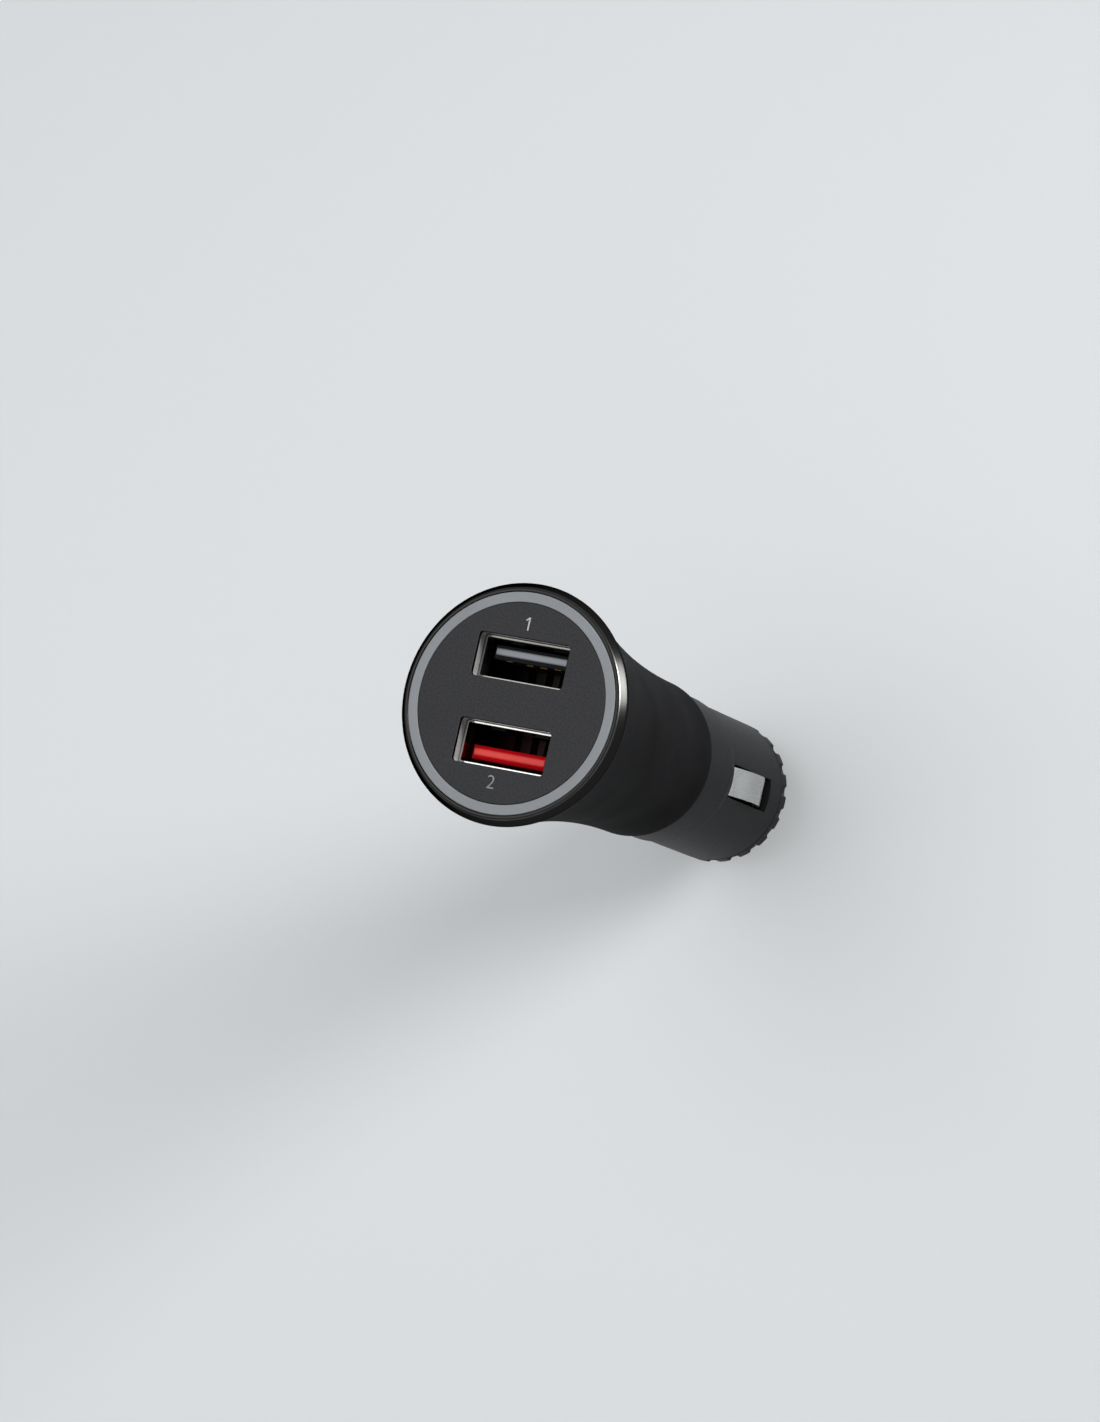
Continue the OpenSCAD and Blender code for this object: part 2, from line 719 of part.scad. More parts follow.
// An eight-legged chip that stands on its legs
module chip() {
    leg_w = 0.42;
    leg_t = 0.2;
    leg_pitch = 1.27;
    leg_reach = 1;
    lift = 0.1;
    translate([can_x - 0.6, 0, chip_z]) {
        color("#151618") translate([-chip_w / 2, lift, -chip_len / 2]) cube([chip_w, chip_h, chip_len]);
        color("#c8c8c8") for (side = [0, 180], i = [-1.5 : 1 : 1.5])
            rotate([0, side, 0]) translate([chip_w / 2, 0, i * leg_pitch - leg_w / 2])
                linear_extrude(leg_w) polygon([
                    [-leg_t, chip_h / 2], [leg_reach / 2, chip_h / 2], [leg_reach / 2, leg_t], [leg_reach, leg_t],
                    [leg_reach, 0], [leg_reach / 2 - leg_t, 0], [leg_reach / 2 - leg_t, chip_h / 2 - leg_t],
                    [-leg_t, chip_h / 2 - leg_t]
                ]);
    }
}

module input_capacitor() { on_board(1) capacitor(); }

module output_capacitor() { on_board(2) capacitor(); }

module inductor_1() { on_board(1) inductor(); }

module inductor_2() { on_board(2) inductor(); }

module converter_chip_1() { on_board(1) chip(); }

module converter_chip_2() { on_board(2) chip(); }

// A square-bodied fuse with metal end caps
module board_fuse() {
    cap_len = 1.2;
    cap_t = 0.1;
    fuse_z = 5;
    on_board(1) translate([-can_x, 0, fuse_z]) {
        color("#e9e6dc") translate([-fuse_w / 2, cap_t, -fuse_len / 2 + cap_t]) cube([fuse_w, fuse_w - 2 * cap_t, fuse_len - 2 * cap_t]);
        color("#c8c8c8") for (end = [0, 180]) rotate([0, end, 0])
            translate([-fuse_w / 2 - cap_t, 0, fuse_len / 2 - cap_len]) cube([fuse_w + 2 * cap_t, fuse_w, cap_len]);
    }
}

front_shell();
bezel_ring();
light_ring();
face_panel();
barrel();
nose_cap();
center_tip();
tip_spring();
spring_terminal();
left_ground_contact();
right_ground_contact();
left_ground_strap();
right_ground_strap();
main_board();
led_board();
leds();
port_1_shell();
port_2_shell();
port_1_insulator();
port_2_insulator();
port_1_contacts();
port_2_contacts();
input_capacitor();
output_capacitor();
inductor_1();
inductor_2();
converter_chip_1();
converter_chip_2();
board_fuse();
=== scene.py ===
# %% [markdown]
# A charger plug with two ports for a car's 12 V supply.
# The CAD solids say where everything is. This script gives the plug its looks: the moulded head,
# the dark metal bezel, the light ring, the face with its two ports, and the barrel with its sprung
# contacts. It works in millimetres and turns them to metres at the end of each piece, because
# the real part is drawn in millimetres too.

# %% Load the frame
import math

import bmesh
import bpy
from mathutils import Matrix, Vector


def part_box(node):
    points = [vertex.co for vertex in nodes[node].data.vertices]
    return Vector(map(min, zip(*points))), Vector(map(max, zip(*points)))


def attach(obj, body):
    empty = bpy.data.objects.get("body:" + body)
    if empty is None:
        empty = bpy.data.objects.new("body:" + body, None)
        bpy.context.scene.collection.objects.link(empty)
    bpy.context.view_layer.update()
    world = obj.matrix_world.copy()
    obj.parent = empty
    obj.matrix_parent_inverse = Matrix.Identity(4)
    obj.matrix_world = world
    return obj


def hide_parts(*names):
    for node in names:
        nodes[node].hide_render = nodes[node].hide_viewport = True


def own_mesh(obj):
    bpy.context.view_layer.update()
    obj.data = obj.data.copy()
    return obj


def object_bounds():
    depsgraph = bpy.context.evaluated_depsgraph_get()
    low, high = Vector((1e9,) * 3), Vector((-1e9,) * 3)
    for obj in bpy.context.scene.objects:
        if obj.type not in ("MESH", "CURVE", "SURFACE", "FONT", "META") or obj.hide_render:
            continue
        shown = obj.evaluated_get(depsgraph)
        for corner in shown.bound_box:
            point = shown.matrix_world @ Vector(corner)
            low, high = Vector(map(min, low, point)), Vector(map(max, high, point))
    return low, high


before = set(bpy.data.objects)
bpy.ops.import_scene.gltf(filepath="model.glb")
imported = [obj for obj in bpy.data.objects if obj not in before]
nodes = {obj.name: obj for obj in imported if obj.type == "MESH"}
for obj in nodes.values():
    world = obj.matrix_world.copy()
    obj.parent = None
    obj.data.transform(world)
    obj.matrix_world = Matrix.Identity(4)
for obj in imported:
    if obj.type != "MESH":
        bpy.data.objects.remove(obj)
cad_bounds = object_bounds()
MM = 0.001
X, Y, Z = range(3)

# %% [markdown]
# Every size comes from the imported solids, so the looks follow the CAD when it changes.
# A turned part is known by its radii at each level, and the corners of its mesh give them exactly,
# so one small helper reads the radii at a height. The rest are boxes.


# %% Measure the turned parts
def radii_at(node, z):
    """The different radii, in mm, of a node's corners at one height in mm."""
    found = set()
    for corner in nodes[node].data.vertices:
        if abs(corner.co.z / MM - z) < 0.005:
            found.add(round(math.hypot(corner.co.x, corner.co.y) / MM, 2))
    return sorted(found)


def highest(node, axis=Z):
    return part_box(node)[1][axis] / MM


def lowest(node, axis=Z):
    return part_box(node)[0][axis] / MM


PANEL_T = 2
face_z = highest("bezel_ring")
shell_top_z = highest("front_shell")
panel_z = face_z - PANEL_T
ring_z = lowest("light_ring")
port_z = highest("port_1_shell")
head_r = highest("bezel_ring", X)
shell_top_r = highest("front_shell", X)
lip_inner_r, lip_r = radii_at("bezel_ring", face_z)
ring_inner_r, ring_r = radii_at("light_ring", face_z)
ring_ledge_r = radii_at("light_ring", ring_z)[0]
panel_r = highest("face_panel", X)
print("face", face_z, "head", head_r, "lip", lip_inner_r, lip_r)
print("ring", ring_inner_r, ring_r, "panel", panel_r)

# %% [markdown]
# Most of the plug is round, as if turned on a lathe. So the first helpers draw half of a section
# as a wire, with a small round on each corner, and spin it about the axis. A real moulded or
# turned edge is never quite sharp, and the round is what catches the light.

# %% Turn an outline
TURN_STEPS = 192
WELD = 1e-4  # corners nearer than this, in mm, are one


def rounded(bm, geom, offset, segments, affect="VERTICES"):
    """Rounds corners or edges."""
    bmesh.ops.bevel(bm, geom=geom, offset=offset, offset_type="OFFSET", segments=segments, profile=0.5,
                    affect=affect, material=-1)


def spun(bm, geom, angle, steps, cent=(0, 0, 0), axis=(0, 0, 1), rise=0, merge=False):
    """Spins geometry about an axis, with a rise at each step, and returns the last copy."""
    return bmesh.ops.spin(bm, geom=geom, cent=cent, axis=axis, dvec=(0, 0, rise), angle=angle, steps=steps,
                          use_merge=merge, use_normal_flip=False, use_duplicate=False)["geom_last"]


def outline(points, closed=True):
    """A wire in the XZ plane from (radius, height, corner round), all in mm."""
    bm = bmesh.new()
    corners = [bm.verts.new((r, 0, z)) for r, z, _ in points]
    for i in range(len(corners) - (not closed)):
        bm.edges.new((corners[i], corners[(i + 1) % len(corners)]))
    for corner, (_, _, radius) in zip(corners, points):
        if radius:
            rounded(bm, [corner], radius, 3)
    return bm


def turned(points, closed=True, steps=TURN_STEPS):
    """Spins an outline about Z into a closed skin whose faces point outwards."""
    bm = outline(points, closed)
    spun(bm, bm.verts[:] + bm.edges[:], math.tau, steps, merge=True)
    bmesh.ops.remove_doubles(bm, verts=bm.verts[:], dist=WELD)
    bmesh.ops.recalc_face_normals(bm, faces=bm.faces[:])
    return bm


# %% [markdown]
# A finished piece is one object at the origin, in metres, that rides on a body of the CAD model.
# Smooth shading with weighted normals keeps the flats flat and lets the small rounds shade as
# rounds. Edges sharper than 40 degrees that have no round stay sharp.


# %% Finish a piece
def placed(name, data):
    """A new object in the scene, at the origin."""
    obj = bpy.data.objects.new(name, data)
    bpy.context.scene.collection.objects.link(obj)
    return obj


def in_metres(name, bm):
    """A mesh in metres from a bmesh in mm, which is used up."""
    bmesh.ops.scale(bm, vec=(MM, MM, MM), verts=bm.verts[:])
    mesh = bpy.data.meshes.new(name)
    bm.to_mesh(mesh)
    bm.free()
    return mesh


def even_shading(obj):
    obj.modifiers.new("Even shading", "WEIGHTED_NORMAL").keep_sharp = True


def finished(name, bm, body, node):
    """The piece that stands for a CAD node, with its body."""
    print(name, "has", sum(len(edge.link_faces) != 2 for edge in bm.edges), "open edges")
    mesh = in_metres(name, bm)
    mesh.shade_smooth()
    mesh.set_sharp_from_angle(angle=math.radians(40))
    obj = placed(name, mesh)
    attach(obj, body)
    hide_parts(node)
    even_shading(obj)
    print(name, len(mesh.polygons), "faces")
    return obj


# %% [markdown]
# The camera stands where the photograph's did: above the face, a little to one side, turned so
# that the ports lean. It is a long lens from 0.7 m, because the ring's ellipse hardly narrows
# with distance. The picture is 1100 by 1422.

# %% Camera
PICTURE_W = 1100
PICTURE_MIDDLE = (550, 711)
FACE_PIXEL = (510.6, 703.1)
SCALE_AT_FACE = 7.757  # pixels for each millimetre at the middle of the face
SENSOR_W = 36
CAMERA_GAP = 700
toward_camera = Vector((0.435, -0.087, 0.896)).normalized()
body_lean = math.radians(22.8)  # how far below level the plug's body runs in the picture

aim = Vector((0, 0, face_z)) * MM
body_way = (-Vector((0, 0, 1)) + toward_camera.z * toward_camera).normalized()
across = (-toward_camera).cross(body_way)
picture_right = math.cos(body_lean) * body_way - math.sin(body_lean) * across
picture_up = -(math.sin(body_lean) * body_way + math.cos(body_lean) * across)

lens = bpy.data.cameras.new("camera")
lens.sensor_fit = "HORIZONTAL"
lens.sensor_width = SENSOR_W
lens.lens = SCALE_AT_FACE * CAMERA_GAP * SENSOR_W / PICTURE_W
lens.shift_x = (PICTURE_MIDDLE[0] - FACE_PIXEL[0]) / PICTURE_W
lens.shift_y = (FACE_PIXEL[1] - PICTURE_MIDDLE[1]) / PICTURE_W
camera = placed("camera", lens)
turn = Matrix((picture_right, picture_up, toward_camera)).transposed().to_4x4()
camera.matrix_world = Matrix.Translation(aim + toward_camera * CAMERA_GAP * MM) @ turn
bpy.context.scene.camera = camera
print("lens", round(lens.lens, 1), "mm, shift", round(lens.shift_x, 4), round(lens.shift_y, 4))

# %% [markdown]
# The head's shell is one moulding: outside it flares along a single large arc from the shoulder
# to the bezel, and inside it follows that arc one wall further in, with a shelf for the lamp
# board and a seat for the light ring. It is drawn as one closed outline and spun.

# %% Head shell's outline
waist_r = radii_at("front_shell", 0)[-1]
shell_wall = waist_r - radii_at("front_shell", 0)[0]
flare_w = shell_top_r - waist_r
flare_r = (shell_top_z**2 + flare_w**2) / (2 * flare_w)
lamp_board_z = lowest("led_board")
SHELL_FOOT_Z = 6  # the bore is straight below this height
SHELF_W = 0.7
SHELF_H = 0.8
FLARE_STEPS = 48


def shell_r(z):
    """Outer radius of the shell at a height."""
    return waist_r + flare_r - math.sqrt(flare_r**2 - z**2)


def flare(low, high, steps, inset):
    """Points along the flare from one height to another, moved in by a wall."""
    heights = [low + (high - low) * i / steps for i in range(steps + 1)]
    return [(shell_r(z) - inset, z, 0) for z in heights]


shelf_r = shell_r(lamp_board_z) - shell_wall - SHELF_W - 0.1
shelf_low_z = lamp_board_z - SHELF_H
ramp_z = shelf_low_z - 2 * SHELF_W
outside = flare(0, shell_top_z, FLARE_STEPS, 0)
outside[0] = (waist_r, 0, 0.15)
outside[-1] = (shell_top_r, shell_top_z, 0.1)
inside = flare(SHELL_FOOT_Z, ramp_z, FLARE_STEPS, shell_wall)
shell_points = outside + [
    (lip_inner_r, shell_top_z, 0), (lip_inner_r, ring_z, 0),
    (shell_r(ring_z) - shell_wall, ring_z, 0), (shell_r(lamp_board_z) - shell_wall, lamp_board_z, 0),
    (shelf_r, lamp_board_z, 0.1), (shelf_r, shelf_low_z, 0.1),
] + inside[::-1] + [(waist_r - shell_wall, SHELL_FOOT_Z, 0), (waist_r - shell_wall, 0, 0.1)]
print("flare radius", round(flare_r, 1), "mm, points in the outline:", len(shell_points))

# %% [markdown]
# Two ribs inside the head carry the shoulders of the main board. Each is a face whose outer side
# follows the middle of the wall, extruded to its width.

# %% Head shell with its ribs
BOARD_T = 1.6
RIB_W = 3.2
RIB_H = 6
RIB_WALL_H = 9.6  # height where the rib meets the wall
RIB_GAP = 0.3  # beside the board's edge
RIB_STEPS = 8
board_corners = [corner.co / MM for corner in nodes["main_board"].data.vertices]
board_step_z = sorted({round(corner.z, 2) for corner in board_corners})[1]
board_half_w = max(abs(corner.x) for corner in board_corners if corner.z < 0)


def corners_of(made):
    return [item for item in made if isinstance(item, bmesh.types.BMVert)]


def add_board_rib(bm, side):
    """One rib on the +X or -X side, from the board's edge into the shell's wall."""
    inner_x = board_half_w + RIB_GAP
    outer = flare(board_step_z - RIB_WALL_H, board_step_z, RIB_STEPS, shell_wall / 2)
    section = [(inner_x, board_step_z), (inner_x, board_step_z - RIB_H)] + [(r, z) for r, z, _ in outer]
    face = bm.faces.new([bm.verts.new((side * x, -RIB_W / 2, z)) for x, z in section])
    made = bmesh.ops.extrude_face_region(bm, geom=[face], use_keep_orig=True)["geom"]
    bmesh.ops.translate(bm, vec=(0, RIB_W, 0), verts=corners_of(made))


shell_mesh = turned(shell_points)
for side in (-1, 1):
    add_board_rib(shell_mesh, side)
bmesh.ops.recalc_face_normals(shell_mesh, faces=shell_mesh.faces[:])
head_shell = finished("head_shell", shell_mesh, "housing", "front_shell")

# %% [markdown]
# The bezel is a thin metal ring around the light: a narrow flat lip, a bevel that catches the
# lamp, and a short wall down to the parting line. The bevel is slightly crowned, as polishing
# leaves it, so that a lamp draws a line on it that is narrower than the bevel.

# %% Bezel
BEVEL_H = 1
CROWN = math.radians(3.5)  # how far the bevel's surface leans at its two edges
CROWN_STEPS = 8


def crowned(start, end, start_round, end_round):
    """Points on a flat arc between two points (radius, height), bulging to the right of the way."""
    start, end = Vector(start), Vector(end)
    way = end - start
    arc_r = way.length / 2 / math.sin(CROWN)
    out = Vector((way.y, -way.x)).normalized()
    middle = (start + end) / 2 - out * arc_r * math.cos(CROWN)
    leans = [CROWN * (2 * i / CROWN_STEPS - 1) for i in range(CROWN_STEPS + 1)]
    points = [middle + arc_r * (math.cos(a) * out + math.sin(a) * way.normalized()) for a in leans]
    rounds = [start_round] + [0] * (CROWN_STEPS - 1) + [end_round]
    return [(point.x, point.y, radius) for point, radius in zip(points, rounds)]


bevel = crowned((head_r, face_z - BEVEL_H), (lip_r, face_z), 0.14, 0.12)
bezel_points = [(lip_inner_r, shell_top_z, 0), (head_r, shell_top_z, 0.08), *bevel,
                (lip_inner_r, face_z, 0.1)]
bezel = finished("bezel", turned(bezel_points), "housing", "bezel_ring")

# %% [markdown]
# The light ring is a moulded diffuser. Only its flat top shows, and an inner ledge carries the
# face panel.

# %% Light ring
ring_points = [
    (ring_ledge_r, ring_z, 0), (ring_r, ring_z, 0.1), (ring_r, face_z, 0.12),
    (ring_inner_r, face_z, 0.08), (ring_inner_r, panel_z, 0), (ring_ledge_r, panel_z, 0.1),
]
light_ring_lens = finished("light_ring_lens", turned(ring_points), "housing", "light_ring")

# %% [markdown]
# The face is a disc with two rounded windows. Its top is filled between the rim and the windows,
# and then stepped in and up along a quarter circle, which rounds all the rims at once. The walls
# are extruded down, and a collar behind each window holds the front of the port. Each window's
# wall has a narrow band under the rim, painted black as shade, and a part below it that is painted
# lighter, as painted light from the side, so the walls are lowered in two steps.

# %% Loops for the face panel
WINDOW_SEGMENTS = 6


def rounded_rectangle(bm, width, height, corner, segments):
    """A flat face with rounded corners around the origin."""
    corners = bmesh.ops.create_grid(bm, x_segments=1, y_segments=1, size=0.5)["verts"]
    bmesh.ops.scale(bm, vec=(width, height, 1), verts=corners)
    rounded(bm, corners, corner, segments)
    bm.faces.ensure_lookup_table()
    return bm.faces[-1]


def rounded_loop(bm, width, height, corner, y, z):
    """Edges of a rounded rectangle that lies flat at (0, y, z)."""
    face = rounded_rectangle(bm, width, height, corner, WINDOW_SEGMENTS)
    edges = face.edges[:]
    bmesh.ops.translate(bm, vec=(0, y, z), verts=face.verts[:])
    bmesh.ops.delete(bm, geom=[face], context="FACES_ONLY")
    return edges


def disc_edges(bm, radius, z):
    ring = bmesh.ops.create_circle(bm, cap_ends=False, segments=TURN_STEPS, radius=radius)["verts"]
    bmesh.ops.translate(bm, vec=(0, 0, z), verts=ring)
    return list({edge for corner in ring for edge in corner.link_edges})


def lowered(bm, edges, depth):
    """Extrudes a loop of edges down and returns the new loop."""
    made = bmesh.ops.extrude_edge_only(bm, edges=edges)["geom"]
    bmesh.ops.translate(bm, vec=(0, 0, -depth), verts=corners_of(made))
    low = {item for item in made if isinstance(item, bmesh.types.BMEdge)}
    return [edge for edge in low if len(edge.link_faces) == 1]


# %% Face panel
port_w = highest("port_1_shell", X) - lowest("port_1_shell", X)
port_h = highest("port_1_shell", Y) - lowest("port_1_shell", Y)
port_y = (highest("port_1_shell", Y) + lowest("port_1_shell", Y)) / 2
PORT_CORNER_R = 0.45
WINDOW_GAP = 0.05
COLLAR_W = 0.75
RIM_ROUND = 0.12
RIM_STEPS = 3
RIM_BAND_H = 0.55
collar_z = lowest("face_panel")
band_low_z = face_z - RIM_ROUND - RIM_BAND_H


def port_loop(bm, side, margin, corner, z):
    """A rounded loop around one port, with a margin on each side."""
    return rounded_loop(bm, port_w + 2 * margin, port_h + 2 * margin, corner, side * port_y, z)


def round_rims(bm, top):
    """Steps the filled top in and up along a quarter circle."""
    for i in range(RIM_STEPS):
        a, b = (math.pi / 2 * k / RIM_STEPS for k in (i, i + 1))
        bmesh.ops.inset_region(bm, faces=top, use_boundary=False, use_even_offset=True,
                               thickness=RIM_ROUND * (math.cos(a) - math.cos(b)),
                               depth=RIM_ROUND * (math.sin(b) - math.sin(a)))


def face_panel_mesh():
    bm = bmesh.new()
    rims = disc_edges(bm, panel_r, face_z - RIM_ROUND)
    for side in (-1, 1):
        rims += port_loop(bm, side, WINDOW_GAP, PORT_CORNER_R, face_z - RIM_ROUND)
    top = bmesh.ops.triangle_fill(bm, use_beauty=True, use_dissolve=False, edges=rims, normal=(0, 0, 1))
    top = [item for item in top["geom"] if isinstance(item, bmesh.types.BMFace)]
    band = lowered(bm, rims, RIM_BAND_H)
    low = lowered(bm, band, band_low_z - panel_z)
    round_rims(bm, top)
    windows = [edge for edge in low if max(end.co.xy.length for end in edge.verts) < panel_r - 1]
    back = [edge for edge in low if edge not in windows]
    for side in (-1, 1):
        window = lowered(bm, [edge for edge in windows if edge.verts[0].co.y * side > 0], panel_z - collar_z)
        collar = port_loop(bm, side, WINDOW_GAP + COLLAR_W, PORT_CORNER_R + COLLAR_W, panel_z)
        back += collar
        bmesh.ops.bridge_loops(bm, edges=window + lowered(bm, collar, panel_z - collar_z))
    bmesh.ops.triangle_fill(bm, use_beauty=True, use_dissolve=False, edges=back, normal=(0, 0, -1))
    bmesh.ops.recalc_face_normals(bm, faces=bm.faces[:])
    return bm


face_plate = finished("face_plate", face_panel_mesh(), "housing", "face_panel")

# %% [markdown]
# The barrel carries the contacts. It is a tube with a stepped wall, a spigot that fits inside the
# head, and two slots that the ground contacts bow out of. The tube is spun first. Each slot is
# then cut along its four planes, its faces are taken out of both walls, and the two openings are
# bridged, which gives the slot its side walls.

# %% Barrel's outline and slots
barrel_r = highest("barrel", X)
barrel_low_z = lowest("barrel")
spigot_top_z = highest("barrel")
bore_r, rear_r = radii_at("barrel", barrel_low_z)[0], radii_at("barrel", barrel_low_z)[-1]
spigot_r = radii_at("barrel", spigot_top_z)[-1]
SPIGOT_WALL = 1.1
COLLAR_LEN = 9  # the barrel is thicker this far below the head
BORE_STEP_Z = -1
SLOT_TOP_Z = -10.5
SLOT_LOW_Z = -24
SLOT_HALF_W = 2.3
spigot_bore_r = spigot_r - SPIGOT_WALL
barrel_points = [
    (bore_r, barrel_low_z, 0.1), (rear_r, barrel_low_z, 0.12),
    (rear_r, -COLLAR_LEN - (barrel_r - rear_r), 0.15), (barrel_r, -COLLAR_LEN, 0.15), (barrel_r, 0, 0.25),
    (spigot_r, 0, 0), (spigot_r, spigot_top_z, 0.15), (spigot_bore_r, spigot_top_z, 0.15),
    (spigot_bore_r, BORE_STEP_Z, 0), (bore_r, BORE_STEP_Z - (bore_r - spigot_bore_r), 0),
]


def near_slot(face, side):
    """Whether a face is on the slot's side of the barrel, so that a cut may pass through it."""
    middle = face.calc_center_median()
    return middle.x * side > 0 and abs(middle.y) < 2 * SLOT_HALF_W and middle.z < -COLLAR_LEN


def in_slot(face, side):
    middle = face.calc_center_median()
    return middle.x * side > 0 and abs(middle.y) < SLOT_HALF_W and SLOT_LOW_Z < middle.z < SLOT_TOP_Z


def cut_slot(bm, side):
    """Opens one slot through the tube's wall, with rounded edges."""
    for place, way in (((0, 0, SLOT_TOP_Z), (0, 0, 1)), ((0, 0, SLOT_LOW_Z), (0, 0, -1)),
                       ((0, SLOT_HALF_W, 0), (0, 1, 0)), ((0, -SLOT_HALF_W, 0), (0, -1, 0))):
        near = [face for face in bm.faces if near_slot(face, side)]
        around = near + list({e for f in near for e in f.edges}) + list({v for f in near for v in f.verts})
        bmesh.ops.bisect_plane(bm, geom=around, dist=WELD, plane_co=place, plane_no=way)
    bmesh.ops.delete(bm, geom=[face for face in bm.faces if in_slot(face, side)], context="FACES")
    rims = [edge for edge in bm.edges if len(edge.link_faces) == 1]
    bmesh.ops.bridge_loops(bm, edges=rims)
    rounded(bm, rims, 0.1, 2, affect="EDGES")


# %% [markdown]
# Four rails inside the spigot hold the main board's edges: a cube is stretched to each rail's
# size, its edges are softened, and its outer side is sunk into the wall.

# %% Barrel with its rails
RAIL_W = 1.2
RAIL_LOW_Z = -4
RAIL_GAP = 0.1  # between a rail and the board's face
RAIL_REACH = 0.9  # how far a rail covers the board from its edge
RAIL_SINK = 0.5  # how deep a rail stands in the wall
RAIL_TOP_GAP = 0.2


def add_rail(bm, side, face):
    """One rail beside the main board's edge, on one face of it."""
    inner_x = board_half_w - RAIL_REACH
    aside = BOARD_T / 2 + RAIL_GAP + RAIL_W / 2
    outer_x = math.sqrt((spigot_bore_r + RAIL_SINK)**2 - (aside + RAIL_W / 2)**2)
    rail_h = spigot_top_z - RAIL_LOW_Z - RAIL_TOP_GAP
    rail = bmesh.ops.create_cube(bm, size=1)["verts"]
    bmesh.ops.scale(bm, vec=(outer_x - inner_x, RAIL_W, rail_h), verts=rail)
    place = (side * (inner_x + outer_x) / 2, face * aside, (spigot_top_z + RAIL_LOW_Z) / 2)
    bmesh.ops.translate(bm, vec=place, verts=rail)
    rounded(bm, list({edge for corner in rail for edge in corner.link_edges}), 0.12, 2, affect="EDGES")


barrel_mesh = turned(barrel_points)
for side in (-1, 1):
    cut_slot(barrel_mesh, side)
for side in (-1, 1):
    for face in (-1, 1):
        add_rail(barrel_mesh, side, face)
barrel_body = finished("barrel_body", barrel_mesh, "housing", "barrel")

# %% [markdown]
# The nose cap closes the barrel. Twenty grip flutes run down its side. A round tool that is
# pressed into a blank moves its surface in the same way: each corner of the spun blank that lies
# inside a flute's cylinder is moved in to that cylinder's wall.

# %% Nose cap
nose_z = barrel_low_z
nose_end_z = lowest("nose_cap")
nose_top_z = highest("nose_cap")
nose_spigot_r = radii_at("nose_cap", nose_top_z)[-1]
nose_chamber_r = radii_at("nose_cap", nose_top_z)[0]
tip_bore_r = radii_at("nose_cap", nose_end_z)[0]
NOSE_FLOOR_T = 3
NOSE_END_R = 6.5
CONE_H = 3
CONE_STEPS = 8
WALL_STEPS = 5
FLUTES = 20
STEPS_PER_FLUTE = 16
FLUTE_DEPTH = 0.45
FLUTE_R = 2 * FLUTE_DEPTH
nose_floor_z = nose_end_z + NOSE_FLOOR_T
cone_top_z = nose_z - 2
flute_top_z = nose_z - 0.4


def nose_points():
    """The cap's outline, with extra points on the cone and the wall for the flutes to move."""
    cone = [(NOSE_END_R + (rear_r - NOSE_END_R) * i / CONE_STEPS, nose_end_z + CONE_H * i / CONE_STEPS, 0)
            for i in range(CONE_STEPS + 1)]
    cone[0] = (NOSE_END_R, nose_end_z, 0.3)
    wall = [(rear_r, cone_top_z + (flute_top_z - cone_top_z) * i / WALL_STEPS, 0)
            for i in range(1, WALL_STEPS + 1)]
    return [(tip_bore_r, nose_end_z, 0.15)] + cone + wall + [
        (rear_r, flute_top_z + 0.08, 0), (rear_r, nose_z, 0.1), (nose_spigot_r, nose_z, 0),
        (nose_spigot_r, nose_top_z, 0.1), (nose_chamber_r, nose_top_z, 0.1),
        (nose_chamber_r, nose_floor_z, 0), (tip_bore_r, nose_floor_z, 0.1)]


def press_flutes(bm):
    """Moves the corners that lie inside a flute's cylinder in to its wall."""
    axis_r = rear_r + FLUTE_DEPTH
    pitch = math.tau / FLUTES
    for corner in bm.verts:
        radius = corner.co.xy.length
        turn_by = math.atan2(corner.co.y, corner.co.x) % pitch - pitch / 2
        aside = axis_r * math.sin(turn_by)
        if corner.co.z > flute_top_z + 0.01 or abs(aside) >= FLUTE_R:
            continue
        pressed = axis_r * math.cos(turn_by) - math.sqrt(FLUTE_R**2 - aside**2)
        if radius > pressed:
            corner.co.xy *= pressed / radius


nose_mesh = turned(nose_points(), steps=FLUTES * STEPS_PER_FLUTE)
press_flutes(nose_mesh)
nose_piece = finished("nose_piece", nose_mesh, "housing", "nose_cap")

# %% [markdown]
# The centre tip is a turned brass pin with a nickel plate: a domed end, a flange that keeps it
# in the nose, and a stub for its spring. It starts and ends on the axis, so its outline is open.

# %% Centre tip
tip_end_z = lowest("center_tip")
tip_top_z = highest("center_tip")
flange_r = highest("center_tip", X)
stub_r = radii_at("center_tip", tip_top_z)[-1]
TIP_GAP = 0.05
FLANGE_T = 1.2
DOME_SHARE = 0.6  # the dome's radius as a share of the pin's
DOME_STEPS = 16
tip_r = tip_bore_r - TIP_GAP
dome_r = tip_r * DOME_SHARE
flange_top_z = nose_floor_z + FLANGE_T
dome = [(tip_r - dome_r + dome_r * math.sin(a), tip_end_z + dome_r * (1 - math.cos(a)), 0)
        for a in (math.pi / 2 * i / DOME_STEPS for i in range(DOME_STEPS + 1))]
tip_points = [(0, tip_end_z, 0)] + dome + [
    (tip_r, nose_floor_z, 0), (flange_r, nose_floor_z, 0.12), (flange_r, flange_top_z, 0.12),
    (stub_r, flange_top_z, 0), (stub_r, tip_top_z, 0.15), (0, tip_top_z, 0)]
tip_pin = finished("tip_pin", turned(tip_points, closed=False), "center_tip", "center_tip")
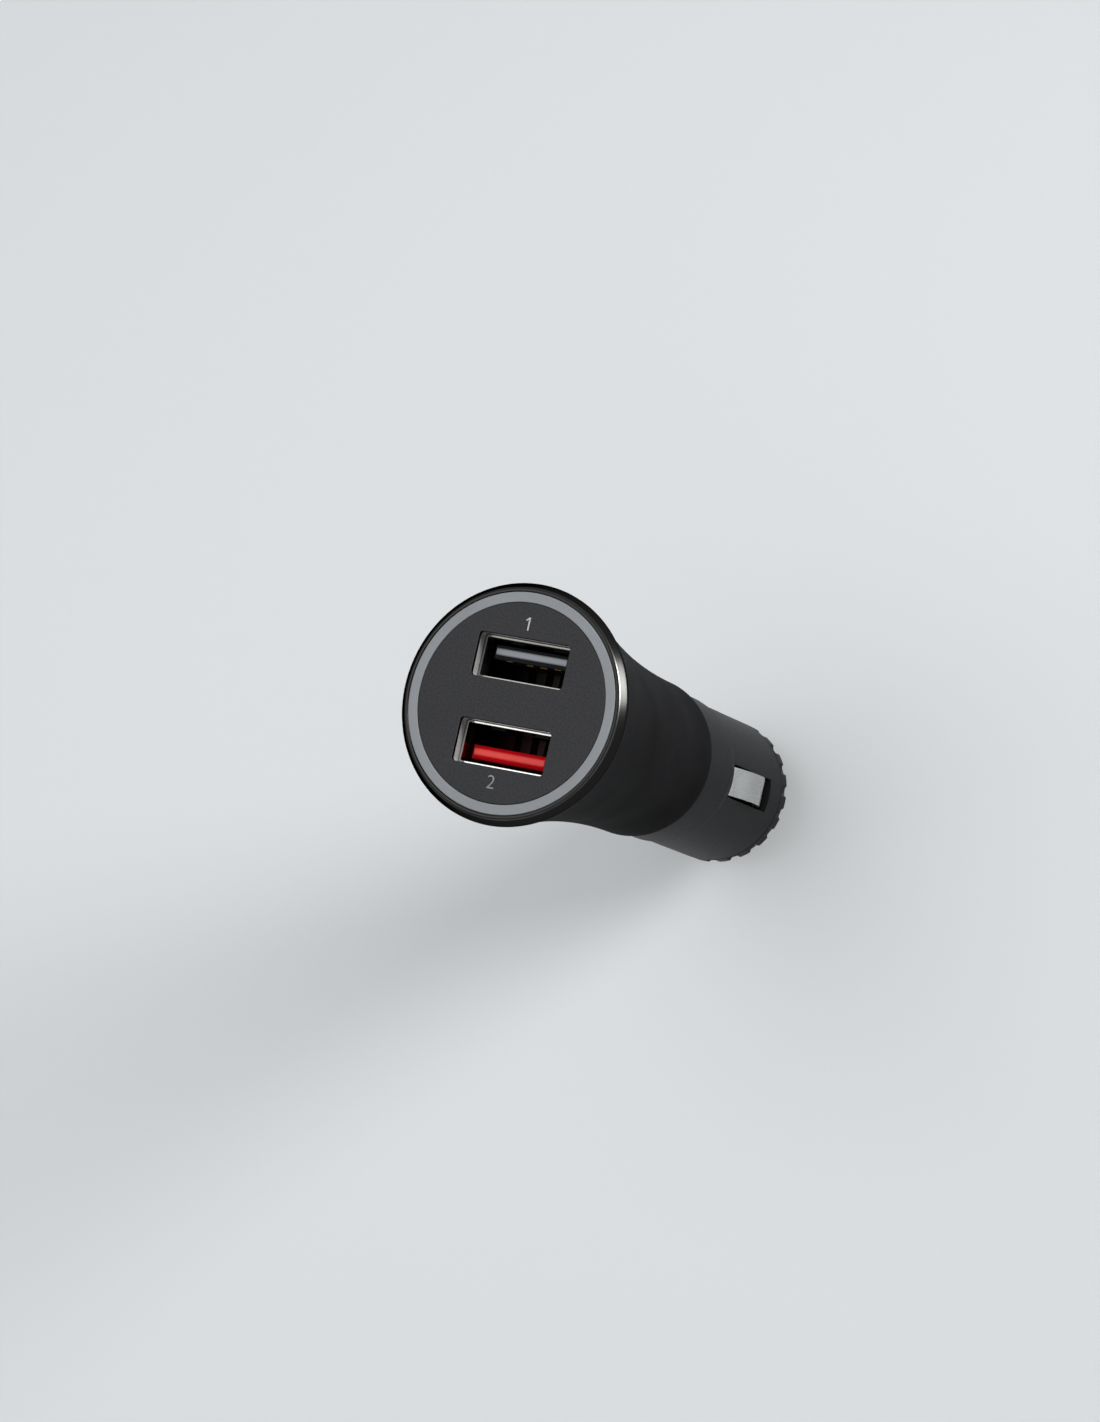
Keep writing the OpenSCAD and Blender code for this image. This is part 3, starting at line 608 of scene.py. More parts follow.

# %% [markdown]
# The coil spring pushes the tip out. A round wire is wound in three spins: a flat end turn, the
# rising turns, and a flat end turn again, as its ends are closed on the real one. When the tip is
# pressed in, its stub goes up and the spring shortens towards the terminal that holds its top.

# %% Coil spring
WIRE_R = 0.3
WIRE_SIDES = 12
COIL_TURNS = 7
CLOSED_TURNS = 0.75  # at each end
STEPS_PER_TURN = 32
coil_low_z = lowest("tip_spring")
coil_top_z = highest("tip_spring")
coil_r = highest("tip_spring", X) - WIRE_R
coil_h = coil_top_z - coil_low_z


def coil_mesh():
    """The wire's round end is drawn on the XZ plane and wound about Z."""
    bm = bmesh.new()
    made = bmesh.ops.create_circle(bm, cap_ends=True, segments=WIRE_SIDES, radius=WIRE_R)["verts"]
    bmesh.ops.rotate(bm, cent=(0, 0, 0), matrix=Matrix.Rotation(math.pi / 2, 3, "X"), verts=made)
    bmesh.ops.translate(bm, vec=(coil_r, 0, coil_low_z + WIRE_R), verts=made)
    made = bmesh.ops.extrude_face_region(bm, geom=bm.faces[:])["geom"]
    climb = coil_h - 2 * WIRE_R
    for turns, rise in ((CLOSED_TURNS, 0), (COIL_TURNS - 2 * CLOSED_TURNS, climb), (CLOSED_TURNS, 0)):
        steps = round(turns * STEPS_PER_TURN)
        made = spun(bm, made, math.tau * turns, steps, rise=rise / steps)
    bmesh.ops.remove_doubles(bm, verts=bm.verts[:], dist=WELD)
    bmesh.ops.recalc_face_normals(bm, faces=bm.faces[:])
    return bm


coil_spring = finished("coil_spring", coil_mesh(), "housing", "tip_spring")
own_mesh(coil_spring)
print("coil spring", round(coil_h, 2), "mm long at rest")

# %% [markdown]
# Each ground contact is a strip of spring steel, bent straight, then out, along a bow and back.
# A small rectangle with rounded corners is extruded and spun about the middle of each bend in
# turn, as the strip goes through its press.

# %% Ground contacts
STRIP_T = 0.4
BEND_R = 1
BOW_END_GAP = 0.35  # between the bow and the slot's ends
BOW_TRIM = 0.1  # radians that the bow stops short of its full arc
strip_w = highest("right_ground_contact", Y) - lowest("right_ground_contact", Y)
strip_top_z = highest("right_ground_contact")
strip_x = lowest("right_ground_contact", X) + STRIP_T / 2
bow_out_x = highest("right_ground_contact", X) - STRIP_T / 2
bow_half = (SLOT_TOP_Z - SLOT_LOW_Z) / 2 - BOW_END_GAP
bow_mid_z = SLOT_TOP_Z - bow_half
bow_rise = bow_out_x - strip_x
bow_r = (bow_half**2 + bow_rise**2) / (2 * bow_rise)
bow_angle = math.asin(bow_half / bow_r)
bend_z = SLOT_TOP_Z + BEND_R * math.tan(bow_angle / 2)


def ground_contact_mesh():
    """The right-hand contact: down the strip, through the first bend and along the bow."""
    bm = bmesh.new()
    face = rounded_rectangle(bm, STRIP_T, strip_w, 0.08, 2)
    bmesh.ops.translate(bm, vec=(strip_x, 0, strip_top_z), verts=face.verts[:])
    made = bmesh.ops.extrude_face_region(bm, geom=[face])["geom"]
    bmesh.ops.translate(bm, vec=(0, 0, bend_z - strip_top_z), verts=corners_of(made))
    made = spun(bm, made, bow_angle, 6, cent=(strip_x + BEND_R, 0, bend_z), axis=(0, -1, 0))
    spun(bm, made, 2 * bow_angle - BOW_TRIM, 32, cent=(bow_out_x - bow_r, 0, bow_mid_z), axis=(0, 1, 0))
    bmesh.ops.recalc_face_normals(bm, faces=bm.faces[:])
    return bm


right_contact = finished("right_contact_spring", ground_contact_mesh(), "right_ground_contact",
                         "right_ground_contact")
left_mesh = ground_contact_mesh()
bmesh.ops.rotate(left_mesh, cent=(0, 0, 0), matrix=Matrix.Rotation(math.pi, 3, "Z"), verts=left_mesh.verts[:])
left_contact = finished("left_contact_spring", left_mesh, "left_ground_contact",
                        "left_ground_contact")

# %% [markdown]
# The small stamped, moulded and soldered parts have their true shape in the CAD already. Their
# meshes are welded, and a narrow bevel on each edge stands for the soft edge that pressing,
# moulding or tin gives them.

# %% Finish the small CAD parts
EDGE_ROUNDS = {
    0.03: ("converter_chip_1", "converter_chip_2"),
    0.04: ("port_1_contacts", "port_2_contacts", "board_fuse"),
    0.05: ("port_1_shell", "port_2_shell", "left_ground_strap", "right_ground_strap",
           "input_capacitor", "output_capacitor"),
    0.06: ("spring_terminal", "main_board", "led_board"),
    0.08: ("leds",),
    0.12: ("port_1_insulator", "port_2_insulator", "inductor_1", "inductor_2"),
}
for width, names in EDGE_ROUNDS.items():
    for name in names:
        weld = nodes[name].modifiers.new("Join the triangles", "WELD")
        weld.merge_threshold = 0.001 * MM
        edge = nodes[name].modifiers.new("Soft edges", "BEVEL")
        edge.width = width * MM
        edge.segments = 2
        edge.limit_method = "ANGLE"
        edge.angle_limit = math.radians(35)
        even_shading(nodes[name])
print("small parts finished:", sum(len(names) for names in EDGE_ROUNDS.values()))

# %% [markdown]
# Two plain numerals say which port is which. They are pad-printed, so each is only two hundredths
# of a millimetre thick and lies on the face. The 2 is a text that is made a mesh. The built-in
# font's 1 is a bare stroke, so the 1 is drawn: a stem with a short flag, extruded to the print's
# thickness.

# %% Numerals
PRINT_T = 0.02
NUMERAL_H = 1.9
STROKE_TRIM = 0.03  # taken off each side of a stroke, to make the numerals lighter
CAP_SHARE = 0.73  # height of a numeral as a share of the type size
STEM_H = 1.72
STROKE_W = 0.2
FLAG_W = 0.36
FLAG_H = 0.3


def drawn_1():
    """The numeral 1 from its outline, which starts at the stem's foot."""
    half_w, half_h = STROKE_W / 2, STEM_H / 2
    flag_x = -half_w - FLAG_W
    corners = [(half_w, -half_h), (half_w, half_h), (-0.8 * half_w, half_h),
               (flag_x, half_h - FLAG_H), (flag_x, half_h - FLAG_H - 1.1 * STROKE_W),
               (-half_w, half_h - 1.3 * STROKE_W), (-half_w, -half_h)]
    bm = bmesh.new()
    face = bm.faces.new([bm.verts.new((x, y, -PRINT_T / 2)) for x, y in corners])
    made = bmesh.ops.extrude_face_region(bm, geom=[face], use_keep_orig=True)["geom"]
    bmesh.ops.translate(bm, vec=(0, 0, PRINT_T), verts=corners_of(made))
    bmesh.ops.recalc_face_normals(bm, faces=bm.faces[:])
    return in_metres("numeral_1", bm)


def typed(text):
    """A numeral of the built-in font as a mesh."""
    curve = bpy.data.curves.new("numeral_" + text, "FONT")
    curve.body = text
    curve.align_x = "CENTER"
    curve.align_y = "CENTER"
    curve.size = NUMERAL_H / CAP_SHARE * MM
    curve.extrude = PRINT_T / 2 * MM
    curve.offset = -STROKE_TRIM * MM
    curve.resolution_u = 6
    drawn = placed("drawn_" + text, curve)
    bpy.context.view_layer.update()
    mesh = bpy.data.meshes.new_from_object(drawn.evaluated_get(bpy.context.evaluated_depsgraph_get()))
    bpy.data.objects.remove(drawn)
    return mesh


def printed(name, mesh, x, y):
    """Lays a numeral's mesh on the face at a place in mm."""
    mesh.transform(Matrix.Translation(Vector((x, y, face_z + PRINT_T / 2)) * MM))
    obj = placed(name, mesh)
    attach(obj, "housing")
    print(name, [round(d / MM, 2) for d in obj.dimensions])
    return obj


numeral_1 = printed("numeral_1", drawn_1(), 0.1, 10.5)
numeral_2 = printed("numeral_2", typed("2"), -0.3, -10.6)

# %% [markdown]
# Materials start from what each piece is made of and how its surface was made. Colours are
# written as the hex values that a screen shows, and one function turns them to the linear
# numbers that the shader wants. One function adds a node with its settings and links. Every
# pattern reads the piece's own coordinates in millimetres, so its grain has a real size: the
# scale of a noise is one over the width of its grains in millimetres.


# %% Colour and node helpers
def srgb(code):
    """A hex colour such as #8e9296 as linear red, green, blue and alpha."""
    values = [int(code[i:i + 2], 16) / 255 for i in (1, 3, 5)]
    return [v / 12.92 if v <= 0.04045 else ((v + 0.055) / 1.055) ** 2.4 for v in values] + [1]


def add(tree, kind, values=(), links=(), out=0, **settings):
    """Adds a node and returns one output. Values and links go to its sockets, settings to itself."""
    made = tree.nodes.new("ShaderNode" + kind)
    for key, value in settings.items():
        setattr(made, key, value)
    for socket, value in dict(values).items():
        made.inputs[socket].default_value = value
    for socket, source in dict(links).items():
        tree.links.new(source, made.inputs[socket])
    return made.outputs[out]


def new_material(name, **shader_values):
    """A material with one shader, and the piece's coordinates in millimetres."""
    material = bpy.data.materials.new(name)
    material.use_nodes = True
    tree = material.node_tree
    shader = tree.nodes["Principled BSDF"]
    for socket, value in shader_values.items():
        shader.inputs[socket.replace("_", " ")].default_value = value
    place = add(tree, "TexCoord", out="Object")
    in_mm = add(tree, "VectorMath", {1: (1 / MM, 1 / MM, 1 / MM)}, {0: place}, operation="MULTIPLY")
    return material, tree, shader, in_mm


# %% [markdown]
# One pattern often shows in several ways at once: where a surface is worn it is lighter, smoother
# and lower. So one function lets a pattern that runs from 0 to 1 drive the colour, the roughness
# and the height of a surface, or any of them.


# %% Let a pattern show
def show(tree, shader, pattern, colours=None, roughness=None, depth=None):
    """Colours and roughness are given for 0 and for 1, and the depth of the relief in mm."""
    if colours:
        tone = add(tree, "Mix", {"A": srgb(colours[0]), "B": srgb(colours[1])}, {"Factor": pattern},
                   data_type="RGBA", out="Result")
        tree.links.new(tone, shader.inputs["Base Color"])
    if roughness:
        gloss = add(tree, "MapRange", {"To Min": roughness[0], "To Max": roughness[1]}, {"Value": pattern})
        tree.links.new(gloss, shader.inputs["Roughness"])
    if depth:
        relief = add(tree, "Bump", {"Distance": depth * MM, "Strength": 1}, {"Height": pattern})
        tree.links.new(relief, shader.inputs["Normal"])


def away_from(tree, value, middle):
    """How far a value is from a middle, to either side."""
    aside = add(tree, "Math", {1: middle}, {0: value}, operation="SUBTRACT")
    return add(tree, "Math", links={0: aside}, operation="ABSOLUTE")


# %% [markdown]
# The head is moulded from a black polycarbonate blend. The mould is finely blasted, so the skin
# is satin: it stays black where it faces us and only the flare's far edge takes a soft sheen.
# Handling leaves faint smears, which are a little glossier and lighter.


# %% Satin black moulding
def moulded_satin_black():
    material, tree, shader, in_mm = new_material("moulded_satin_black", IOR=1.5, Specular_IOR_Level=0.006)
    smears = add(tree, "TexNoise", {"Scale": 1 / 9, "Detail": 3}, {"Vector": in_mm})
    blasting = add(tree, "TexNoise", {"Scale": 1 / 0.15}, {"Vector": in_mm})
    show(tree, shader, smears, colours=("#1b1b1c", "#0b0b0c"), roughness=(0.46, 0.58))
    show(tree, shader, blasting, depth=0.004)
    return material


# %% [markdown]
# The bezel is an aluminium ring, turned and then anodised almost black. The lathe leaves very
# fine rings, which widen its highlights around the axis. The rings follow the radius and the
# height, so the noise reads only those two. Just outside the lip a thin, uneven line of lighter
# metal is a painted highlight, for the thin glints that the bevel's edge catches.

# %% Dark anodised metal
LINE_OUT = 0.12  # the painted highlight line lies this far outside the lip


def turned_dark_anodised():
    material, tree, shader, in_mm = new_material("turned_dark_anodised", Metallic=1,
                                                Specular_Tint=srgb("#6e6e6e"))
    parts = add(tree, "SeparateXYZ", links={0: in_mm}).node.outputs
    flat = add(tree, "CombineXYZ", links={0: parts[X], 1: parts[Y]})
    radius = add(tree, "VectorMath", links={0: flat}, operation="LENGTH", out="Value")
    lathe_way = add(tree, "CombineXYZ", links={0: radius, 1: parts[Z]})
    rings = add(tree, "TexNoise", {"Scale": 1 / 0.06, "Detail": 1}, {"Vector": lathe_way})
    show(tree, shader, rings, roughness=(0.17, 0.25), depth=0.0004)
    uneven = add(tree, "TexNoise", {"Scale": 1 / 4}, {"Vector": in_mm})
    glint_strength = add(tree, "MapRange", {"To Max": 1.2}, {"Value": uneven})
    # Painted highlight: a thin, uneven band of lighter metal stands in for the glints on the bevel's edge.
    line = add(tree, "MapRange", {"From Min": 0.1, "From Max": 0.02},
               {"Value": away_from(tree, radius, lip_r + LINE_OUT), "To Max": glint_strength})
    show(tree, shader, line, colours=("#2a2a29", "#6c6c6a"))
    return material


# %% [markdown]
# The light ring is a milky diffuser. Unlit, it is a satin grey with light sinking a little way
# into it, by the same distance for all colours.


# %% Satin diffuser
def satin_diffuser():
    material, tree, shader, in_mm = new_material(
        "satin_diffuser", IOR=1.58, Specular_IOR_Level=0.3, Subsurface_Weight=0.15, Subsurface_Scale=0.6 * MM,
        Subsurface_Radius=(1, 1, 1), Roughness=0.36)
    clouds = add(tree, "TexNoise", {"Scale": 1 / 6}, {"Vector": in_mm})
    skin = add(tree, "TexNoise", {"Scale": 1 / 0.12}, {"Vector": in_mm})
    show(tree, shader, clouds, colours=("#75787b", "#7e8184"))
    show(tree, shader, skin, depth=0.002)
    return material


# %% [markdown]
# The face is spark-eroded: the mould was etched to a fine, even grain, which the plastic copies.
# It looks matte, because each small pit sends the light another way. The real grain is about a
# tenth of a millimetre, and it is drawn at a quarter of one so that it shows.


# %% Etched grey moulding
def etched_grey_moulding():
    material, tree, shader, in_mm = new_material("etched_grey_moulding", IOR=1.5, Specular_IOR_Level=0.2)
    grain = add(tree, "TexNoise", {"Scale": 1 / 0.25}, {"Vector": in_mm})
    touched = add(tree, "TexNoise", {"Scale": 1 / 7}, {"Vector": in_mm})
    show(tree, shader, grain, colours=("#151517", "#39393b"), depth=0.012)
    show(tree, shader, touched, roughness=(0.52, 0.62))
    return material


# %% [markdown]
# The walls of the two windows come off the mould's polished slides, so they are smoother than the
# face, with faint drag marks along the way the slides pull out. Their lighter grey is painted light,
# as a side light would show them. Right under each rim a narrow, dead matte black band is a painted
# shadow line.


# %% Window wall painted light and rim band painted shade
def window_wall_painted_light():
    material, tree, shader, in_mm = new_material("window_wall_painted_light", IOR=1.5)
    drag = add(tree, "Mapping", {"Scale": (3, 3, 0.4)}, {"Vector": in_mm})
    marks = add(tree, "TexNoise", {"Scale": 1 / 0.4}, {"Vector": drag})
    show(tree, shader, marks, colours=("#7f807e", "#939391"), roughness=(0.25, 0.35), depth=0.001)
    return material


def rim_band_painted_shade():
    material, tree, shader, in_mm = new_material("rim_band_painted_shade", Roughness=0.9, Specular_IOR_Level=0)
    grain = add(tree, "TexNoise", {"Scale": 1 / 0.3}, {"Vector": in_mm})
    show(tree, shader, grain, colours=("#040404", "#0a0a0a"))
    return material


# %% [markdown]
# The numerals are pad-printed in a silver-grey ink, whose fine flakes give it a soft sheen. Both
# are printed in one ink, and the 2 is given darker tones as painted shade.


# %% Printed ink
def printed_ink(name, light, dark):
    material, tree, shader, in_mm = new_material(name, Metallic=0.25, Roughness=0.42)
    flakes = add(tree, "TexNoise", {"Scale": 1 / 0.15}, {"Vector": in_mm})
    show(tree, shader, flakes, colours=(dark, light))
    return material


# %% [markdown]
# The barrel and the nose cap are glass-filled nylon, which takes the heat of the contacts. Its
# surface is half matte, with a soft mottling.


# %% Black nylon
def moulded_black_nylon():
    material, tree, shader, in_mm = new_material("moulded_black_nylon", IOR=1.53, Specular_IOR_Level=0.06)
    fibres = add(tree, "TexNoise", {"Scale": 1 / 0.35, "Detail": 3}, {"Vector": in_mm})
    mottling = add(tree, "TexNoise", {"Scale": 1 / 4}, {"Vector": in_mm})
    show(tree, shader, fibres, roughness=(0.36, 0.5), depth=0.01)
    show(tree, shader, mottling, colours=("#0e0e0f", "#151516"))
    return material


# %% [markdown]
# The metals differ in colour and in how they were worked. Rolled sheet has faint lines one way,
# turned or plated pieces have fine scratches all ways, and both grow duller where they rub.


# %% Worked metals
def worked_metal(name, light, dark, roughness, lines=(1, 1, 1)):
    """A bare or plated metal: two tones, a range of roughness, and a grain stretched by lines."""
    material, tree, shader, in_mm = new_material(name, Metallic=1)
    stretched = add(tree, "Mapping", {"Scale": lines}, {"Vector": in_mm})
    scratches = add(tree, "TexNoise", {"Scale": 1 / 0.3, "Detail": 3, "Roughness": 0.6},
                    {"Vector": stretched})
    patches = add(tree, "TexNoise", {"Scale": 1 / 3, "Detail": 3}, {"Vector": in_mm})
    show(tree, shader, patches, colours=(dark, light))
    show(tree, shader, scratches, roughness=roughness, depth=0.002)
    return material


# %% [markdown]
# A port's shell is pressed from plated steel sheet. Its front edge is bare and bright, and deeper
# in the port the colour ramps down to near black, which is painted shade for the inside of the port.
# A ramp along the depth below the port's front edge gives both. Port 1's edge is given duller tones
# as painted shade, and port 2's brighter ones as a painted highlight.


# %% Pressed port steel
def port_depth(tree, in_mm, shallow, deep):
    """Runs from 0 to 1 between two depths, in mm, below the ports' front edges."""
    height = add(tree, "SeparateXYZ", links={0: in_mm}, out=Z)
    return add(tree, "MapRange", {"From Min": port_z - shallow, "From Max": port_z - deep}, {"Value": height})


def pressed_port_steel(name, bright, worn_and_lit, shade_from, shade_to, roughness):
    """The painted shade's two ends are depths in mm."""
    material, tree, shader, in_mm = new_material(name, Metallic=1)
    rolled = add(tree, "Mapping", {"Scale": (4, 4, 0.4)}, {"Vector": in_mm})
    lines = add(tree, "TexNoise", {"Scale": 1 / 0.3, "Detail": 3, "Roughness": 0.6}, {"Vector": rolled})
    patches = add(tree, "TexNoise", {"Scale": 1 / 3, "Detail": 3}, {"Vector": in_mm})
    edge = add(tree, "Mix", {"A": srgb(bright), "B": srgb(worn_and_lit)}, {"Factor": patches},
               data_type="RGBA", out="Result")
    sheet = add(tree, "Mix", {"B": srgb("#a2a2a4")},
                {"Factor": port_depth(tree, in_mm, 0.1, 0.5), "A": edge}, data_type="RGBA", out="Result")
    # Painted shade: deeper in the port the steel turns near black.
    painted_deep_shade = add(tree, "Mix", {"B": srgb("#101011")},
                  {"Factor": port_depth(tree, in_mm, shade_from, shade_to), "A": sheet},
                  data_type="RGBA", out="Result")
    tree.links.new(painted_deep_shade, shader.inputs["Base Color"])
    show(tree, shader, lines, roughness=roughness, depth=0.002)
    return material


# %% [markdown]
# The tongues in the ports are a hard liquid-crystal polymer, grey in port 1 and red in port 2.
# It flows so thin that it leaves streaks along the tongue, and it stays satin. The front flat is
# painted a lighter tone, as a painted highlight in a band that fades to both sides, and the block
# behind the tongue is painted dark as its deep shade. In port 1 the grey tongue's body is darkened
# as painted shade.

# %% Port tongues
TONGUE_FRONT = (1.102, 1.115)  # the painted highlight ends between these depths, just behind the front flat
BLOCK_SHADE = (3, 6)


def moulded_tongue(name, worn_and_lit, light, dark, painted_block_shade, band_y, band_half, glow):
    """The painted highlight band runs across the front at a height band_y, in mm, and fades over band_half.
    """
    material, tree, shader, in_mm = new_material(
        name, IOR=1.6, Specular_IOR_Level=0.12, Subsurface_Weight=glow, Subsurface_Scale=1.5 * MM)
    streaks = add(tree, "Mapping", {"Scale": (1, 1, 0.2)}, {"Vector": in_mm})
    flow = add(tree, "TexNoise", {"Scale": 1 / 0.5, "Detail": 3}, {"Vector": streaks})
    across = add(tree, "SeparateXYZ", links={0: in_mm}, out=Y)
    fade = add(tree, "MapRange", {"From Min": 0.35 * band_half, "From Max": band_half},
               {"Value": away_from(tree, across, band_y)}, interpolation_type="SMOOTHSTEP")
    plain = add(tree, "Mix", {"A": srgb(dark), "B": srgb(light)}, {"Factor": flow},
                data_type="RGBA", out="Result")
    # Painted highlight: the front flat is lighter in a band that fades to both sides.
    front = add(tree, "Mix", {"A": srgb(worn_and_lit)}, {"Factor": fade, "B": plain}, data_type="RGBA", out="Result")
    tongue = add(tree, "Mix", (), {"Factor": port_depth(tree, in_mm, *TONGUE_FRONT), "A": front, "B": plain},
                 data_type="RGBA", out="Result")
    # Painted shade: the block behind the tongue turns dark.
    shaded = add(tree, "Mix", {"B": srgb(painted_block_shade)},
                 {"Factor": port_depth(tree, in_mm, *BLOCK_SHADE), "A": tongue},
                 data_type="RGBA", out="Result")
    tree.links.new(shaded, shader.inputs["Base Color"])
    skin = add(tree, "TexNoise", {"Scale": 1 / 0.1}, {"Vector": in_mm})
    show(tree, shader, flow, roughness=(0.34, 0.46))
    show(tree, shader, skin, depth=0.002)
    return material


# %% [markdown]
# The boards are glass-fibre laminate under a printed solder mask. Copper tracks lie under the
# mask and raise it a little: they run in straight lanes, so a brick pattern draws them.

# %% Circuit boards
TRACK_PITCH = 1.3
TRACK_LEN = 5.5
TRACK_GAP = 0.12


def masked_board(name, mask, track, gloss):
    material, tree, shader, in_mm = new_material(name, IOR=1.5, Roughness=gloss)
    lanes = add(tree, "Mapping", {"Rotation": (math.pi / 2, 0, 0)}, {"Vector": in_mm})
    tracks = add(tree, "TexBrick",
                 {"Color1": (1, 1, 1, 1), "Color2": (1, 1, 1, 1), "Mortar": (0, 0, 0, 1), "Scale": 1,
                  "Mortar Size": TRACK_GAP, "Brick Width": TRACK_LEN, "Row Height": TRACK_PITCH},
                 {"Vector": lanes}, out="Fac")
    show(tree, shader, tracks, colours=(mask, track), depth=0.03)
    return material


# %% [markdown]
# A part with tinned legs or caps shows two materials at a clean line. A step along one axis of
# the piece's own coordinates tells them apart, so one material covers the whole solid.


# %% Parts with tinned ends
def tinned_ends(name, axis, middle, reach, body, metal, rough_body):
    """Body material within a reach of a middle along an axis, in mm, and tinned metal beyond it."""
    material, tree, shader, in_mm = new_material(name)
    along = add(tree, "SeparateXYZ", links={0: in_mm}, out=axis)
    tinned = add(tree, "Math", {1: reach}, {0: away_from(tree, along, middle)}, operation="GREATER_THAN")
    grain = add(tree, "TexNoise", {"Scale": 1 / 0.3}, {"Vector": in_mm})
    tree.links.new(tinned, shader.inputs["Metallic"])
    show(tree, shader, tinned, colours=(body, metal), roughness=(rough_body, 0.28))
    show(tree, shader, grain, depth=0.004)
    return material


# %% [markdown]
# The inductors are pressed from iron powder, which leaves a coarse speckle. The lamps are small
# white packages with a yellow phosphor that looks out through the top.


# %% Powder and phosphor
def pressed_powder():
    material, tree, shader, in_mm = new_material("pressed_powder", Roughness=0.7)
    specks = add(tree, "TexNoise", {"Scale": 1 / 0.25, "Detail": 4, "Roughness": 0.7}, {"Vector": in_mm})
    show(tree, shader, specks, colours=("#2c2e31", "#4b4e52"), depth=0.03)
    return material


def lamp_phosphor():
    material, tree, shader, in_mm = new_material("lamp_phosphor", Roughness=0.35, Coat_Weight=0.4)
    powder = add(tree, "TexNoise", {"Scale": 1 / 0.2}, {"Vector": in_mm})
    show(tree, shader, powder, colours=("#e8dca0", "#f4ecc6"))
    return material


# %% [markdown]
# Each finish goes to the pieces that have it. A CAD node takes it in its own slots, and a new
# piece gets one slot. A few finishes change at a place on their piece, so those places are
# measured first.

# %% Places where a finish changes
SLEEVE_FOOT = 1.8  # the capacitor's bare foot below its sleeve
CHIP_HALF = 1.96  # half of the chip's body between its legs
FUSE_HALF = 1.85  # half of the fuse's body between its caps
sleeve_top_z = highest("input_capacitor")
sleeve_h = sleeve_top_z - lowest("input_capacitor") - SLEEVE_FOOT
chip_x = (lowest("converter_chip_1", X) + highest("converter_chip_1", X)) / 2
fuse_z = (lowest("board_fuse") + highest("board_fuse")) / 2
tongue_y = [corner.co.y / MM for corner in nodes["port_1_insulator"].data.vertices
            if corner.co.z / MM > port_z - 1.2]
tongue_y = (min(tongue_y) + max(tongue_y)) / 2
print("sleeve", round(sleeve_h, 2), "mm, tongue 1's front at", round(tongue_y, 2))

# %% Give the pieces their finishes
satin_black = moulded_satin_black()
nylon = moulded_black_nylon()
spring_steel = worked_metal("rolled_spring_steel", "#b9bab8", "#a3a4a3", (0.2, 0.34), lines=(4, 4, 0.3))
sleeve = tinned_ends("capacitor_sleeve", Z, sleeve_top_z, sleeve_h, "#1f242b", "#c4c6c8", 0.3)
brass = worked_metal("bare_brass", "#d2ab55", "#bb933f", (0.24, 0.4))
# The gold is much darker than bare gold: painted shade for the contacts deep in the ports.
gold = worked_metal("gold_flash_painted_shade", "#8f7035", "#7c602c", (0.3, 0.42))
FINISHES = {
    "head_shell": satin_black,
    "bezel": turned_dark_anodised(),
    "light_ring_lens": satin_diffuser(),
    "face_plate": etched_grey_moulding(),
    "barrel_body": nylon,
    "nose_piece": nylon,
    "tip_pin": worked_metal("nickel_plate", "#d3cec5", "#bdb8af", (0.14, 0.28)),
    "left_contact_spring": spring_steel,
    "right_contact_spring": spring_steel,
    "coil_spring": spring_steel,
    "spring_terminal": brass,
    "left_ground_strap": brass,
    "right_ground_strap": brass,
    "main_board": masked_board("green_board", "#1c5236", "#2b6b47", 0.35),
    "led_board": masked_board("white_board", "#dcdcd6", "#eeeee9", 0.3),
    "leds": lamp_phosphor(),
    # The two ports' edge tones differ by light: port 1's is painted duller as shade, port 2's brighter as a
    # painted highlight.
    "port_1_shell": pressed_port_steel("port_1_steel_painted_shade", "#a19e99", "#8b8883", 1.8, 2.7, (0.22, 0.36)),
    "port_2_shell": pressed_port_steel("port_2_steel_painted_highlight", "#d9d7d3", "#c5c3bf", 1.9, 2.6, (0.1, 0.18)),
    # Port 1's tongue: its body tones are darkened as painted shade, and its front band is a painted
    # highlight.
    "port_1_insulator": moulded_tongue("grey_tongue", "#a3a7ac", "#303235", "#282a2d", "#0d0d0e",
                                       tongue_y, 0.55, 0),
    "port_2_insulator": moulded_tongue("red_tongue", "#ff544c", "#e60e1c", "#d60b17", "#3b0b0d",
                                       -tongue_y, 0.48, 0.6),
    "port_1_contacts": gold,
    "port_2_contacts": gold,
    "input_capacitor": sleeve,
    "output_capacitor": sleeve,
    "inductor_1": pressed_powder(),
    "inductor_2": pressed_powder(),
    "converter_chip_1": tinned_ends("chip_1", X, chip_x, CHIP_HALF, "#151618", "#c6c8ca", 0.5),
    "converter_chip_2": tinned_ends("chip_2", X, -chip_x, CHIP_HALF, "#151618", "#c6c8ca", 0.5),
    "board_fuse": tinned_ends("fuse_ceramic", Z, fuse_z, FUSE_HALF, "#e6e2d6", "#c9cbcc", 0.5),
    "numeral_1": printed_ink("printed_grey", "#a6a6a7", "#9a9a9b"),
    # Painted shade: the 2 takes darker tones than the 1, though both are one ink.
    "numeral_2": printed_ink("printed_grey_painted_shade", "#7f8082", "#6e6f71"),
}
for name, material in FINISHES.items():
    data = bpy.data.objects[name].data
    data.materials.clear()
    data.materials.append(material)
print("finishes:", len(FINISHES))

# %% [markdown]
# The windows' walls below their dark rims were not etched: the mould's slides made them, and they
# are smooth. Their lighter grey is painted light from the side. The narrow band right under each rim
# is painted black, as a painted shadow line. Both are upright faces of the face plate, away from the
# plate's own edge.

